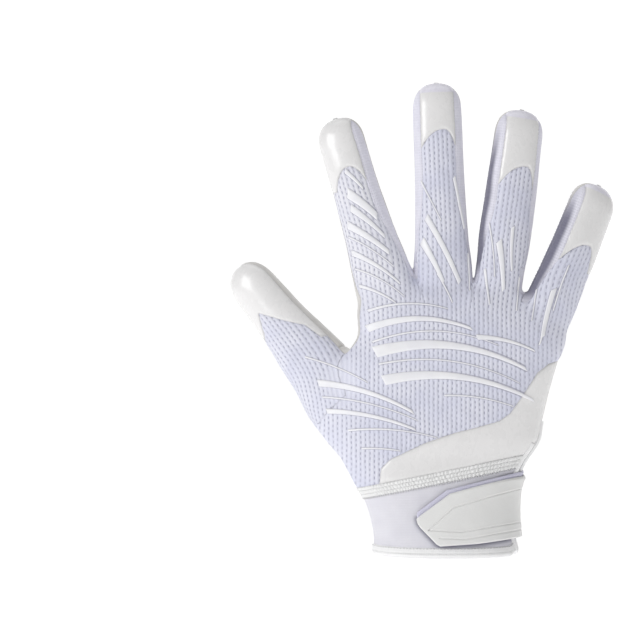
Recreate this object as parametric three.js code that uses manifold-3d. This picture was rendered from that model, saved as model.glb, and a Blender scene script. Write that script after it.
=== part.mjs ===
// A right-hand football receiver glove, filled out as a hand fills it. The fingers point up (+Z), the back of
// the hand faces -Y, the palm faces +Y and the thumb is on the -X side. The origin is the middle of the wrist
// opening, in the plane of the hem. Lengths are in millimetres and angles in degrees.
import * as THREE from "three";
import { mergeVertices } from "three/addons/utils/BufferGeometryUtils.js";
import Module from "manifold-3d";

const wasm = await Module();
wasm.setup();

// Driving dimensions
const WALL = 1.6; // leather, knit and side walls
const SEAM_GAP = 0.3; // clearance between two panels that are sewn together
const FAR = 70; // reach of a cutter past the glove's front and back
const BEYOND = { left: -130, right: 110, below: -20, top: 300 }; // reach past its sides, hem and tips
const CUTTER = { finger: 30, thumb: 45, thumb_side: 40 }; // reach from a digit's axis

const CUFF = { rise: 40, width: 73.5, depth: 45 }; // from the hem to the wrist line
const PALM = { rise: 100, width: 108, depth: 36 }; // from the wrist line to the webs between the fingers
const HEM = { height: 4.2, proud: 0.8 };
// The slit opens the cuff on the little finger's side: its palm edge, its height and its folded bindings
const SLIT = { width: 2.4, edge_y: -4.2, top: 57, palm_top: 68, binding: 2.2, proud: 0.7 };
const ELASTIC = { height: 5.2, slope: 0.2, rise: 41, proud: 0.5 }; // gathered band, higher on the slit's side
// The strap's right end is a share of the cuff's width, and it wraps as far as wrap_y on the palm side
const STRAP = { length: 53, width: 30.7, thick: 1.7, low: 10.3, end: 0.52, wrap_y: 9 };
const BACKING = { thick: 1.2, shows: 1.6 }; // fabric under the strap
// Pull tab: its centre is a share of the cuff's width
const TAB = { width: 12, length: 34, thick: 1.5, centre: -0.422, below_hem: 1.2 };
const RIB = { thick: 0.8 };
const SIDE_SEAM_Y = -3; // where palm and back meet along the two edges of the hand
const THUMB_SEAM = { front_y: 14, from_x: -76, to_x: -44 }; // the same seam where the thumb stands forward
const LITTLE_SEAM = { front_y: 4, from_z: 74 }; // and where it rises to the little finger's own seam
const WEB = { front_y: 2.5, back_y: -4.5, half_width: 6, depth: 12, overlap: 4 }; // where side walls meet

// Sections of the hand: rise is a share of its zone's height, the rest are shares of its width and depth
const CUFF_SECTIONS = [
  { rise: -0.15, left: 0.495, right: 0.475, front: 0.5, back: 0.5 },
  { rise: 0.0, left: 0.495, right: 0.475, front: 0.5, back: 0.5 },
  { rise: 0.35, left: 0.51, right: 0.447, front: 0.485, back: 0.475 },
  { rise: 0.7, left: 0.562, right: 0.444, front: 0.462, back: 0.45 },
  { rise: 0.95, left: 0.64, right: 0.463, front: 0.455, back: 0.445 },
];
const PALM_SECTIONS = [
  { rise: 0.08, left: 0.474, right: 0.36, front: 0.57, back: 0.53 },
  { rise: 0.18, left: 0.488, right: 0.42, front: 0.585, back: 0.53 },
  { rise: 0.27, left: 0.487, right: 0.437, front: 0.59, back: 0.522 },
  { rise: 0.38, left: 0.481, right: 0.458, front: 0.58, back: 0.514 },
  { rise: 0.55, left: 0.5, right: 0.503, front: 0.528, back: 0.5 },
  { rise: 0.7, left: 0.418, right: 0.541, front: 0.472, back: 0.472 },
  { rise: 0.84, left: 0.41, right: 0.46, front: 0.4, back: 0.4 },
  { rise: 1.04, left: 0.31, right: 0.24, front: 0.2, back: 0.2 },
];
const WRIST_SECTIONS = 5; // sections of the palm that the bands round the wrist need
const HAND_SQUARENESS = 2.25; // exponent of the rounded sections: 2 is an ellipse
const HAND_POINTS = { outer: 26, inner: 16 };

// Each digit is a bent stall: lean is to the little finger's side, forward is to the palm, and a positive
// roll turns its back to the little finger's side. Bow is how far its tip curls to the palm.
const DIGITS = {
  index: {
    root: { x: -0.2389, y: 0, z: 0.8 }, length: 104, width: 28.8, depth: 20.6,
    lean: -18, forward: 1, roll: -12, bow: 9, tip: 13, cap: 25, cap_peak: 0.1,
    sections: [
      { along: 0.0, wide: 1.2, deep: 1.0 },
      { along: 0.25, wide: 1.015, deep: 1.0 },
      { along: 0.39, wide: 0.917, deep: 0.98 },
      { along: 0.63, wide: 0.82, deep: 0.93 },
      { along: 0.87, wide: 0.81, deep: 0.88 },
      { along: 1.0, wide: 0.79, deep: 0.86 },
    ],
  },
  middle: {
    root: { x: -0.0139, y: 0, z: 0.8 }, length: 117.5, width: 29.4, depth: 20.8,
    lean: -2, forward: 1, roll: -1, bow: 10, tip: 13, cap: 23.5, cap_peak: 0.25,
    sections: [
      { along: 0.0, wide: 1.0, deep: 1.0 },
      { along: 0.21, wide: 1.0, deep: 1.0 },
      { along: 0.33, wide: 0.918, deep: 0.98 },
      { along: 0.6, wide: 0.85, deep: 0.93 },
      { along: 0.86, wide: 0.84, deep: 0.88 },
      { along: 1.0, wide: 0.81, deep: 0.86 },
    ],
  },
  ring: {
    root: { x: 0.2093, y: 0, z: 0.8 }, length: 105, width: 27.4, depth: 20.4,
    lean: 9.3, forward: 1, roll: 12, bow: 10, tip: 13, cap: 28, cap_peak: 0.35,
    sections: [
      { along: 0.0, wide: 0.9, deep: 1.0 },
      { along: 0.24, wide: 0.9, deep: 1.0 },
      { along: 0.37, wide: 0.956, deep: 0.98 },
      { along: 0.6, wide: 0.95, deep: 0.93 },
      { along: 0.83, wide: 0.9, deep: 0.9 },
      { along: 1.0, wide: 0.88, deep: 0.86 },
    ],
  },
  little: {
    root: { x: 0.4069, y: 0, z: 0.695 }, length: 83, width: 27, depth: 19,
    lean: 25, forward: 2, roll: 24, bow: 8, tip: 12, cap: 30, cap_peak: 0.3,
    sections: [
      { along: 0.0, wide: 1.0, deep: 1.0 },
      { along: 0.25, wide: 0.99, deep: 1.0 },
      { along: 0.4, wide: 0.955, deep: 0.98 },
      { along: 0.71, wide: 0.885, deep: 0.94 },
      { along: 0.87, wide: 0.87, deep: 0.9 },
      { along: 1.0, wide: 0.84, deep: 0.86 },
    ],
  },
  thumb: {
    root: { x: -0.288, y: 3, z: 0.1485 }, length: 119.5, width: 42, depth: 33,
    lean: -39.6, forward: 12, roll: -14, bow: 3, tip: 16,
    sections: [
      { along: -0.11, wide: 0.81, deep: 0.85 },
      { along: 0.1, wide: 0.99, deep: 1.0 },
      { along: 0.3, wide: 0.96, deep: 0.94 },
      { along: 0.44, wide: 0.81, deep: 0.82 },
      { along: 0.546, wide: 0.74, deep: 0.74 },
      { along: 0.7, wide: 0.62, deep: 0.66 },
      { along: 0.81, wide: 0.58, deep: 0.62 },
      { along: 1.0, wide: 0.53, deep: 0.58 },
    ],
  },
};
const FINGERS = ["index", "middle", "ring", "little"];
const DIGIT_SQUARENESS = 2.2;
const TIP_SQUARENESS = 2.4;
const TIP_FLAT = 0.2; // size of the flat at a tip's end, as a share of the section before the tip
const DIGIT_POINTS = { outer: 14, inner: 10 };
const TIP_STEPS = { outer: [0.5, 0.82, 1], inner: [0.6, 1] }; // shares of the rounded tip's length

// Where the panels of a finger meet, as shares of its half depth: -1 is the back and +1 the palm side
const SEAMS = { front: 0.12, back: -0.76, back_at_web: -0.35, outer: -0.3 };
const STALL_START = 0.2; // share of a finger's length where its own seams begin
const TIP_SEAM = -0.1; // the walls between the fingers narrow to this line at the fingertip
const WALL_END = 0.2; // they end this share of the rounded tip's length short of its end
const CAP_SIDE = 0.7; // share of the half width where a finger's cap meets the walls beside it
const THUMB_STALL = { start: 0.44, blend: 8, behind: 6, outer_seam: [0.6, 0.15], inner_seam: -0.45 };
const THUMB_STATIONS = [0.6, 0.74, 0.9, 1.05]; // of its cutters, as shares of its length
// Arch under a finger's cap: how far it falls, as a share of the cap, and how wide it is, of the half width
const CAP = { fall: 0.42, reach: 0.74, curve: 2.2, points: 9 };
// Lower edge of the thumb's back cap: across as a share of its half width, along as a share of its length
const THUMB_CAP = [
  { across: -1.6, along: 0.63 },
  { across: -0.79, along: 0.7 },
  { across: -0.365, along: 0.778 },
  { across: 0.2, along: 0.692 },
  { across: 0.82, along: 0.606 },
  { across: 1.016, along: 0.522 },
  { across: 1.6, along: 0.5 },
];

// Edge of the palm leather on the thumb's side: x as a share of the cuff's width, z of the cuff's height
const PALM_EDGE = [
  { x: -0.34, z: -0.2 },
  { x: -0.365, z: 0.62 },
  { x: -0.41, z: 0.84 },
  { x: -0.49, z: 1.1 },
  { x: -0.57, z: 1.36 },
  { x: -0.71, z: 1.66 },
  { x: -0.86, z: 1.86 },
  { x: -1.06, z: 2.12 },
];
// Upper edge of the wrist leather: x is a share of the palm's width, z of its height above the wrist line
const WRIST_EDGE = [
  { x: -0.319, z: -0.05 },
  { x: -0.31, z: 0.045 },
  { x: -0.265, z: 0.093 },
  { x: -0.117, z: 0.168 },
  { x: 0.032, z: 0.225 },
  { x: 0.149, z: 0.256 },
  { x: 0.234, z: 0.283 },
  { x: 0.287, z: 0.323 },
  { x: 0.322, z: 0.375 },
  { x: 0.37, z: 0.449 },
  { x: 0.415, z: 0.52 },
  { x: 0.468, z: 0.564 },
  { x: 0.55, z: 0.59 },
];
// The strap's outline, from its pointed end: along as a share of its length, up as a share of its width
const STRAP_OUTLINE = [
  { along: 0.0, up: 0.3 },
  { along: 0.012, up: 0.235 },
  { along: 0.215, up: -0.17 },
  { along: 0.55, up: -0.11 },
  { along: 1.0, up: 0.0 },
  { along: 1.25, up: 0.02 },
  { along: 1.25, up: 1.04 },
  { along: 1.0, up: 1.0 },
  { along: 0.6, up: 0.82 },
  { along: 0.31, up: 0.69 },
  { along: 0.02, up: 0.345 },
];
// Raised bars on the back: both ends in shares of the palm's width and height, and the width at each end
const RIBS = [
  { name: "rib_knuckle_1", from: [-0.375, 0.74], to: [0.11, 0.74], bend: 0.1, wide: [3.4, 1.8] },
  { name: "rib_knuckle_2", from: [-0.34, 0.625], to: [0.36, 0.54], bend: 0.1, wide: [5.2, 2.2] },
  { name: "rib_knuckle_3", from: [-0.3, 0.485], to: [0.395, 0.385], bend: 0.09, wide: [4.6, 2.0] },
  { name: "rib_thumb_1", from: [-0.6, 0.47], to: [-0.16, 0.325], bend: 0.06, wide: [3.2, 1.6] },
  { name: "rib_thumb_2", from: [-0.56, 0.33], to: [-0.15, 0.24], bend: 0.05, wide: [2.4, 1.4] },
  { name: "rib_index_1", from: [-0.465, 1.42], to: [-0.325, 1.3], bend: 0.03, wide: [4.6, 3.2] },
  { name: "rib_index_2", from: [-0.465, 1.26], to: [-0.27, 1.12], bend: 0.03, wide: [3.6, 2.2] },
  { name: "rib_middle_1", from: [-0.1, 1.3], to: [0.055, 0.97], bend: 0.02, wide: [3.0, 2.2] },
  { name: "rib_ring_1", from: [0.235, 1.18], to: [0.255, 0.93], bend: 0.02, wide: [3.2, 1.8] },
  { name: "rib_little_1", from: [0.49, 0.94], to: [0.435, 0.7], bend: -0.02, wide: [2.8, 2.0] },
];
const RIB_STEPS = 5;

const MATERIALS = {
  palm_leather: { color: 0xdcdad6, roughness: 0.42 },
  tip_leather: { color: 0xe0e0de, roughness: 0.38 },
  back_knit: { color: 0xd6d6e6, roughness: 0.85 },
  side_knit: { color: 0xd8d8ea, roughness: 0.8 },
  cuff_fabric: { color: 0xdcdce6, roughness: 0.85 },
  elastic: { color: 0xe4e4e2, roughness: 0.8 },
  binding: { color: 0xe8e8ea, roughness: 0.6 },
  strap: { color: 0xdfe0dc, roughness: 0.5 },
  strap_backing: { color: 0xcfcde2, roughness: 0.9 },
  pull_tab: { color: 0xb4b2cc, roughness: 0.85 },
  rib: { color: 0xeaeae8, roughness: 0.45 },
};

const rad = THREE.MathUtils.degToRad;
const wrist_z = CUFF.rise;
const rootOf = ({ root }) => new THREE.Vector3(root.x * PALM.width, root.y, wrist_z + root.z * PALM.rise);

// Value of a table's column at a share, on a smooth curve through its rows
function smoothColumn(rows, key, column, at) {
  const last = rows.length - 1;
  let i = rows.findIndex((row, n) => n < last && at <= rows[n + 1][key]);
  if (i < 0) i = last - 1;
  const value = (n) => rows[THREE.MathUtils.clamp(n, 0, last)];
  const [p, q, r, s] = [value(i - 1), value(i), value(i + 1), value(i + 2)];
  const step = r[key] - q[key];
  const share = THREE.MathUtils.clamp((at - q[key]) / step, 0, 1);
  const slope = (from, to) => ((to[column] - from[column]) / (to[key] - from[key])) * step;
  const slope_in = i > 0 ? slope(p, r) : slope(q, r);
  const slope_out = i + 2 <= last ? slope(q, s) : slope(q, r);
  const [u, v] = [share * share, share * share * share];
  return (
    (2 * v - 3 * u + 1) * q[column] + (v - 2 * u + share) * slope_in +
    (3 * u - 2 * v) * r[column] + (v - u) * slope_out
  );
}

// A closed surface through rings of points, its two ends closed flat
function loft(rings) {
  const count = rings[0].length;
  const points = rings.flat();
  const ends = [0, rings.length - 1].map((n) => {
    const middle = new THREE.Vector3();
    rings[n].forEach((p) => middle.addScaledVector(p, 1 / count));
    return points.push(middle) - 1;
  });
  const faces = [];
  for (let i = 0; i < count; i++) {
    const j = (i + 1) % count;
    const top = (rings.length - 1) * count;
    for (let n = 0; n + 1 < rings.length; n++) {
      const [a, b] = [n * count, (n + 1) * count];
      faces.push(a + i, a + j, b + j, a + i, b + j, b + i);
    }
    faces.push(ends[0], j, i, ends[1], top + i, top + j);
  }
  const geometry = new THREE.BufferGeometry().setFromPoints(points);
  geometry.setIndex(faces);
  return geometry;
}

// A closed geometry as a solid, turned the right way out
function solid(geometry) {
  const bare = new THREE.BufferGeometry().setAttribute("position", geometry.getAttribute("position"));
  if (geometry.index) bare.setIndex(geometry.index);
  const merged = mergeVertices(bare, 1e-4);
  const triVerts = new Uint32Array(merged.index.array);
  const vertProperties = new Float32Array(merged.attributes.position.array);
  const build = () => new wasm.Manifold(new wasm.Mesh({ numProp: 3, vertProperties, triVerts }));
  const made = build();
  if (made.volume() > 0) return made;
  for (let i = 0; i < triVerts.length; i += 3) {
    [triVerts[i], triVerts[i + 1]] = [triVerts[i + 1], triVerts[i]];
  }
  return build();
}

const join = (solids) => solids.reduce((all, next) => all.add(next));

// A flat outline in X and Z, pushed from one Y to another
function slab(points, y_from, y_to) {
  const outline = new THREE.Shape(points.map(([x, z]) => new THREE.Vector2(x, z)));
  const geometry = new THREE.ExtrudeGeometry(outline, { depth: y_to - y_from, bevelEnabled: false });
  geometry.rotateX(Math.PI / 2).translate(0, y_to, 0);
  return solid(geometry);
}

const box = (x0, x1, y0, y1, z0, z1) => slab([[x0, z0], [x1, z0], [x1, z1], [x0, z1]], y0, y1);

// Rounded section of half sizes, front and back apart
function ringOf(count, squareness, place) {
  const power = 2 / squareness;
  return Array.from({ length: count }, (_, i) => {
    const angle = (2 * Math.PI * i) / count;
    const [c, s] = [Math.cos(angle), Math.sin(angle)];
    return place(Math.sign(c) * Math.abs(c) ** power, Math.sign(s) * Math.abs(s) ** power);
  });
}

// The hand and cuff without the digits, grown by an offset
function handBody(offset, side = "outer", top_section = PALM_SECTIONS.length) {
  const placed = (zone, floor) => (row) => ({ ...row, zone, z: floor + row.rise * zone.rise });
  const rows = [
    ...CUFF_SECTIONS.map(placed(CUFF, 0)),
    ...PALM_SECTIONS.slice(0, top_section).map(placed(PALM, CUFF.rise)),
  ];
  return solid(
    loft(
      rows.map(({ zone, z, left, right, front, back }, n) =>
        ringOf(HAND_POINTS[side], HAND_SQUARENESS, (c, s) => {
          const [x_left, x_right] = [left * zone.width + offset, right * zone.width + offset];
          const middle = (x_right - x_left) / 2;
          const depth = (s > 0 ? front : back) * zone.depth + offset;
          const crown = n === rows.length - 1 ? offset : 0;
          return new THREE.Vector3(middle + (c * (x_left + x_right)) / 2, s * depth, z + crown);
        }),
      ),
    ),
  );
}

// A digit's own frame: along its length, across to the little finger's side, and front to the palm
function frameOf(digit) {
  const [lean, forward] = [rad(digit.lean), rad(digit.forward)];
  const upright = Math.cos(forward);
  const along = new THREE.Vector3(Math.sin(lean) * upright, Math.sin(forward), Math.cos(lean) * upright);
  const front = new THREE.Vector3(0, 1, 0).addScaledVector(along, -along.y).normalize();
  front.applyAxisAngle(along, rad(digit.roll));
  return { along, front, across: new THREE.Vector3().crossVectors(front, along) };
}

function pointOn(digit, frame, t, a, b) {
  const curl = digit.bow * Math.max(0, t / digit.length) ** 2;
  return rootOf(digit)
    .addScaledVector(frame.along, t)
    .addScaledVector(frame.across, a)
    .addScaledVector(frame.front, b + curl);
}

const halfSizes = (digit, t) => ({
  wide: (smoothColumn(digit.sections, "along", "wide", t / digit.length) * digit.width) / 2,
  deep: (smoothColumn(digit.sections, "along", "deep", t / digit.length) * digit.depth) / 2,
});

function digitBody(digit, offset, side) {
  const frame = frameOf(digit);
  const start = digit.length - digit.tip;
  const straight = digit.sections.map((row) => row.along * digit.length).filter((t) => t < start - 4);
  const stations = [...straight, start].map((t) => ({ t, scale: 1 }));
  for (const share of TIP_STEPS[side]) {
    const scale = Math.max(TIP_FLAT, (1 - share ** TIP_SQUARENESS) ** (1 / TIP_SQUARENESS));
    stations.push({ t: start + share * (digit.tip + offset), scale });
  }
  return solid(
    loft(
      stations.map(({ t, scale }) => {
        const { wide, deep } = halfSizes(digit, Math.min(t, digit.length));
        return ringOf(DIGIT_POINTS[side], DIGIT_SQUARENESS, (c, s) =>
          pointOn(digit, frame, t, c * (wide + offset) * scale, s * (deep + offset) * scale),
        );
      }),
    ),
  );
}

// A prism that follows a digit: corners gives its section's corners from the half sizes at each station
function digitPrism(digit, stations, corners) {
  const frame = frameOf(digit);
  const rings = stations.map((t) => {
    const half = halfSizes(digit, Math.min(t, digit.length));
    return corners(half, t).map(([a, b]) => pointOn(digit, frame, t, a, b));
  });
  return solid(loft(rings));
}

const grown = (offset, side = "outer") =>
  join([handBody(offset, side), ...Object.values(DIGITS).map((digit) => digitBody(digit, offset, side))]);

const shell = grown(0).subtract(grown(-WALL, "inner"));

// The walls between fingers close towards the tip: share of the way from the open seam to the tip's line
function closing(digit, t) {
  return THREE.MathUtils.smoothstep(t, digit.length - 1.9 * digit.tip, digit.length - 0.1 * digit.tip);
}

const inner_sides = { index: [false, true], middle: [true, true], ring: [true, true], little: [true, false] };
const PAST_SIDE = 1.6; // reach of a finger's cutters past its side, less than half of a web
const PAST_TIP = 6; // and past its tip

// Stations of a finger's cutters, the same for all of them so that their seams meet
function stationsOf(digit) {
  const { length, tip } = digit;
  const near_tip = [1.9, 1.1, WALL_END].map((share) => length - share * tip);
  return [STALL_START * length, 0.4 * length, ...near_tip];
}

// Heights of a finger's seams at one station, for its left and right side
function seamHeights(name, half, t, which) {
  const digit = DIGITS[name];
  return inner_sides[name].map((inner) => {
    const from_web = THREE.MathUtils.smoothstep(t, STALL_START * digit.length, 0.55 * digit.length);
    const back = THREE.MathUtils.lerp(SEAMS.back_at_web, SEAMS.back, from_web);
    const open = inner ? (which === "back" ? back : SEAMS.front) : SEAMS.outer;
    return THREE.MathUtils.lerp(open, inner ? TIP_SEAM : SEAMS.outer * 0.5, closing(digit, t)) * half.deep;
  });
}

// Room of each panel on a finger; grow widens it, so that the next panel can keep clear of it
function fingerFront(name, grow) {
  const digit = DIGITS[name];
  const stations = [...stationsOf(digit), digit.length + PAST_TIP];
  return digitPrism(digit, stations, (half, t) => {
    const [left, right] = seamHeights(name, half, t, "front");
    const side = half.wide + PAST_SIDE + grow;
    return [[-side, left - grow], [side, right - grow], [side, CUTTER.finger], [-side, CUTTER.finger]];
  });
}

function fingerBack(name) {
  const digit = DIGITS[name];
  const stations = [0, STALL_START * digit.length, digit.length + PAST_TIP];
  return digitPrism(digit, stations, (half) => {
    const side = half.wide + PAST_SIDE;
    return [[-side, -CUTTER.finger], [side, -CUTTER.finger], [side, half.deep], [-side, half.deep]];
  });
}

function fingerSide(name, right, grow) {
  const digit = DIGITS[name];
  const pick = right ? 1 : 0;
  const sign = right ? 1 : -1;
  const stations = stationsOf(digit);
  stations[0] -= WEB.overlap;
  stations[stations.length - 1] += grow;
  const [, beside] = stations;
  return digitPrism(digit, stations, (half, t) => {
    const below = t > beside ? -1.4 * half.deep : seamHeights(name, half, t, "back")[pick];
    const [low, high] = [below - grow, seamHeights(name, half, t, "front")[pick] + 2];
    const share = t < beside ? 0.2 : CAP_SIDE;
    const [near, side] = [sign * (half.wide * share - grow), sign * (half.wide + PAST_SIDE + grow)];
    return [[near, low], [side, low], [side, high], [near, high]];
  });
}

// Height of the webs, where each finger's own seams begin
const stallStart = (name) => {
  const digit = DIGITS[name];
  return pointOn(digit, frameOf(digit), STALL_START * digit.length, 0, 0);
};
const starts = FINGERS.map(stallStart);
const [index_x, , , little_x] = starts.map((p) => p.x);
const web_line = starts.map((p) => [p.x, p.z + 1]);

// Outline of the hand up to the webs
function handOutline(x_from, x_to, z_from) {
  const [first, last] = [web_line[0], web_line.at(-1)];
  const foot = [[x_from, z_from], [x_to, z_from]];
  return [...foot, [x_to, last[1]], ...web_line.toReversed(), [x_from, first[1]]];
}

const { left: far_left, right: far_right } = BEYOND;
const hem_top = HEM.height + SEAM_GAP;
const palm_edge = PALM_EDGE.map(({ x, z }) => [x * CUFF.width, z * CUFF.rise]);

// The seam along the edges of the hand, seen from above: it swings to the palm side round the thumb
function inFrontOfSeam(grow) {
  const points = [
    [far_left, THUMB_SEAM.front_y - grow], [THUMB_SEAM.from_x, THUMB_SEAM.front_y - grow],
    [THUMB_SEAM.to_x, SIDE_SEAM_Y - grow], [index_x, SIDE_SEAM_Y - grow], [index_x, WEB.front_y - grow],
    [little_x, WEB.front_y - grow], [little_x, SIDE_SEAM_Y - grow], [far_right, SIDE_SEAM_Y - grow],
    [far_right, FAR], [far_left, FAR],
  ];
  const section = new THREE.Shape(points.map(([x, y]) => new THREE.Vector2(x, y)));
  const height = BEYOND.top - BEYOND.below;
  const prism = new THREE.ExtrudeGeometry(section, { depth: height, bevelEnabled: false });
  return solid(prism.translate(0, 0, BEYOND.below));
}

// Room of the palm leather: the palm side of the hand up to the webs, and the fingers' fronts
function leftOfPalm(gap) {
  const edge = palm_edge.map(([x, z]) => [x - gap, z]);
  return slab([[far_left, BEYOND.below], ...edge, [far_left, edge.at(-1)[1]]], -FAR, FAR);
}
function behindLittleSeam(grow) {
  const top = web_line.at(-1)[1] + 2 * SEAM_GAP;
  const section = [
    [-FAR, LITTLE_SEAM.from_z], [SIDE_SEAM_Y - grow, LITTLE_SEAM.from_z], [LITTLE_SEAM.front_y - grow, top],
    [-FAR, top],
  ];
  return solid(loft([little_x, far_right].map((x) => section.map(([y, z]) => new THREE.Vector3(x, y, z)))));
}
const palmRoom = (grow) =>
  slab(handOutline(far_left, far_right, hem_top), -FAR, FAR)
    .intersect(inFrontOfSeam(grow))
    .subtract(leftOfPalm(grow))
    .subtract(behindLittleSeam(grow))
    .add(join(FINGERS.map((name) => fingerFront(name, grow))));

// The thumb's own seams begin on a plane across it
const thumb = DIGITS.thumb;
const thumb_start = THUMB_STALL.start * thumb.length;
function thumbRoom(from, seamOf) {
  const upper = THUMB_STATIONS.map((share) => share * thumb.length);
  const stations = [from, thumb_start + THUMB_STALL.blend, ...upper];
  return digitPrism(thumb, stations, (half, t) => {
    const inner = half.wide * (t < thumb.length * 0.55 ? 1.02 : 1.3);
    const { thumb: front, thumb_side: side } = CUTTER;
    return [[-side, seamOf(t, half, false)], [inner, seamOf(t, half, true)], [inner, front], [-side, front]];
  });
}
function thumbSeam(t, half, inner) {
  const share = THREE.MathUtils.clamp((t - thumb_start) / (thumb.length - thumb_start) / 0.5, 0, 1);
  const outer = THREE.MathUtils.lerp(THUMB_STALL.outer_seam[0], THUMB_STALL.outer_seam[1], share);
  return (inner ? THUMB_STALL.inner_seam : outer) * half.deep;
}
const thumb_front = thumbRoom(thumb_start, thumbSeam);
const widerThumbSeam = (...at) => thumbSeam(...at) - SEAM_GAP;
const thumb_front_and_gap = thumbRoom(thumb_start - SEAM_GAP, widerThumbSeam);
const wholeThumb = (from) => thumbRoom(from, () => -CUTTER.thumb);
const palm_and_gap = palmRoom(SEAM_GAP).subtract(wholeThumb(thumb_start));

// Room of the two folded bindings along the slit on the little finger's side
const slit_palm_y = SLIT.edge_y;
const slit_back_y = SLIT.edge_y - SLIT.width;
const slitRoom = (y0, y1, top) => box(CUFF.width * 0.3, far_right, y0, y1, BEYOND.below, top);
const slit_and_bindings = join([
  slitRoom(slit_back_y - SLIT.binding - SEAM_GAP, slit_palm_y, SLIT.top + SEAM_GAP),
  slitRoom(slit_palm_y - SEAM_GAP, slit_palm_y + SLIT.binding + SEAM_GAP, SLIT.palm_top + SEAM_GAP),
]);

const palm_leather = shell
  .intersect(palmRoom(0))
  .subtract(wholeThumb(thumb_start - SEAM_GAP))
  .subtract(slit_and_bindings);
const thumb_leather = shell.intersect(thumb_front);

// Walls between the fingers: a strip up each side of the web, joined across it
const sideRoom = (left_name, right_name, grow) => {
  const [left, right] = [left_name, right_name].map((name) => stallStart(name));
  const middle = (left.x + right.x) / 2;
  const low = Math.min(left.z, right.z) - WEB.depth - grow;
  const high = Math.max(left.z, right.z) + 4;
  const half = WEB.half_width + grow;
  const web = box(middle - half, middle + half, WEB.back_y - grow, WEB.front_y + 2, low, high);
  return join([fingerSide(left_name, true, grow), fingerSide(right_name, false, grow), web]);
};
const SIDE_WALLS = [["index", "middle"], ["middle", "ring"], ["ring", "little"]];
const side_walls = SIDE_WALLS.map(([left, right]) => [
  "side_wall_" + left + "_" + right,
  shell.intersect(sideRoom(left, right, 0)).subtract(palm_and_gap),
]);
const sides_and_gap = join(SIDE_WALLS.map(([left, right]) => sideRoom(left, right, SEAM_GAP)));

// The back of the hand: knit above the wrist leather, which stands on the elastic band and the cuff
const elastic_at = (x, up) => ELASTIC.rise + ELASTIC.slope * x + up;
function above(up) {
  const line = [far_left, far_right].map((x) => [x, elastic_at(x, up)]);
  return slab([...line, [far_right, BEYOND.top], [far_left, BEYOND.top]], -FAR, FAR);
}
const elastic_low = -ELASTIC.height / 2;
const elastic_high = ELASTIC.height / 2;
const back_room = join([
  slab(handOutline(far_left, far_right, BEYOND.below), -FAR, FAR),
  wholeThumb(thumb_start - THUMB_STALL.behind),
  ...FINGERS.map(fingerBack),
])
  .subtract(palm_and_gap)
  .subtract(thumb_front_and_gap)
  .subtract(sides_and_gap)
  .subtract(slit_and_bindings);

const wrist_edge = WRIST_EDGE.map(({ x, z }) => [x * PALM.width, wrist_z + z * PALM.rise]);
function wristArea(gap) {
  const edge = wrist_edge.map(([x, z]) => [x - gap, z + gap]);
  const end = [[far_right, edge.at(-1)[1]], [far_right, BEYOND.below], [edge[0][0], BEYOND.below]];
  return slab([...edge, ...end], -FAR, 12);
}
const above_elastic = above(elastic_high + SEAM_GAP);
const wrist_leather = shell.intersect(back_room.intersect(wristArea(0)).intersect(above_elastic));

// A flat outline across and along a digit, pushed right through it from its back to its front
function digitPlate(digit, outline) {
  const { along, across, front } = frameOf(digit);
  const points = [-FAR, FAR].flatMap((depth) =>
    outline.map(([a, t]) =>
      rootOf(digit)
        .addScaledVector(along, t)
        .addScaledVector(across, a)
        .addScaledVector(front, depth),
    ),
  );
  const total = outline.length;
  const flat = outline.map(([a, t]) => new THREE.Vector2(a, t));
  const faces = THREE.ShapeUtils.triangulateShape(flat, []).flatMap(([a, b, c]) => [
    a, b, c, total + a, total + c, total + b,
  ]);
  for (let i = 0; i < total; i++) {
    const j = (i + 1) % total;
    faces.push(i, total + i, j, j, total + i, total + j);
  }
  const geometry = new THREE.BufferGeometry().setFromPoints(points);
  geometry.setIndex(faces);
  return solid(geometry);
}

// A finger's cap ends in an arch, highest towards one side
function capArea(name, gap) {
  const digit = DIGITS[name];
  const peak = digit.length - digit.cap;
  const fall = digit.cap * CAP.fall;
  const half = halfSizes(digit, peak).wide;
  const arch = Array.from({ length: CAP.points }, (_, n) => {
    const a = THREE.MathUtils.lerp(-CAP.reach, CAP.reach, n / (CAP.points - 1));
    const run = a < digit.cap_peak ? CAP.reach + digit.cap_peak : CAP.reach - digit.cap_peak;
    const near = Math.min(1, Math.abs(a - digit.cap_peak) / run);
    return [a * half, peak - fall * near ** CAP.curve - gap];
  });
  const [side, foot, top] = [half + PAST_TIP, peak - fall - gap, digit.length + PAST_TIP];
  return digitPlate(digit, [[-side, foot], ...arch, [side, foot], [side, top], [-side, top]]);
}

const tip_caps = FINGERS.map((name) => [name, shell.intersect(back_room.intersect(capArea(name, 0)))]);

// The thumb's back: leather over the tip, knit below a slanted edge
function thumbCapArea(gap) {
  const half = halfSizes(thumb, thumb.length * 0.75).wide;
  const edge = THUMB_CAP.map(({ across, along }) => [across * half, along * thumb.length - gap]);
  const top = thumb.length + PAST_TIP;
  return digitPlate(thumb, [...edge, [3 * half, top], [-3 * half, top]]);
}
const thumb_cap = shell.intersect(back_room.intersect(thumbCapArea(0)));
const caps_and_gap = FINGERS.map((name) => capArea(name, SEAM_GAP));
const leather_and_gap = join([wristArea(SEAM_GAP), thumbCapArea(SEAM_GAP), ...caps_and_gap]);
const back_knit = shell.intersect(back_room.intersect(above_elastic).subtract(leather_and_gap));

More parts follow.
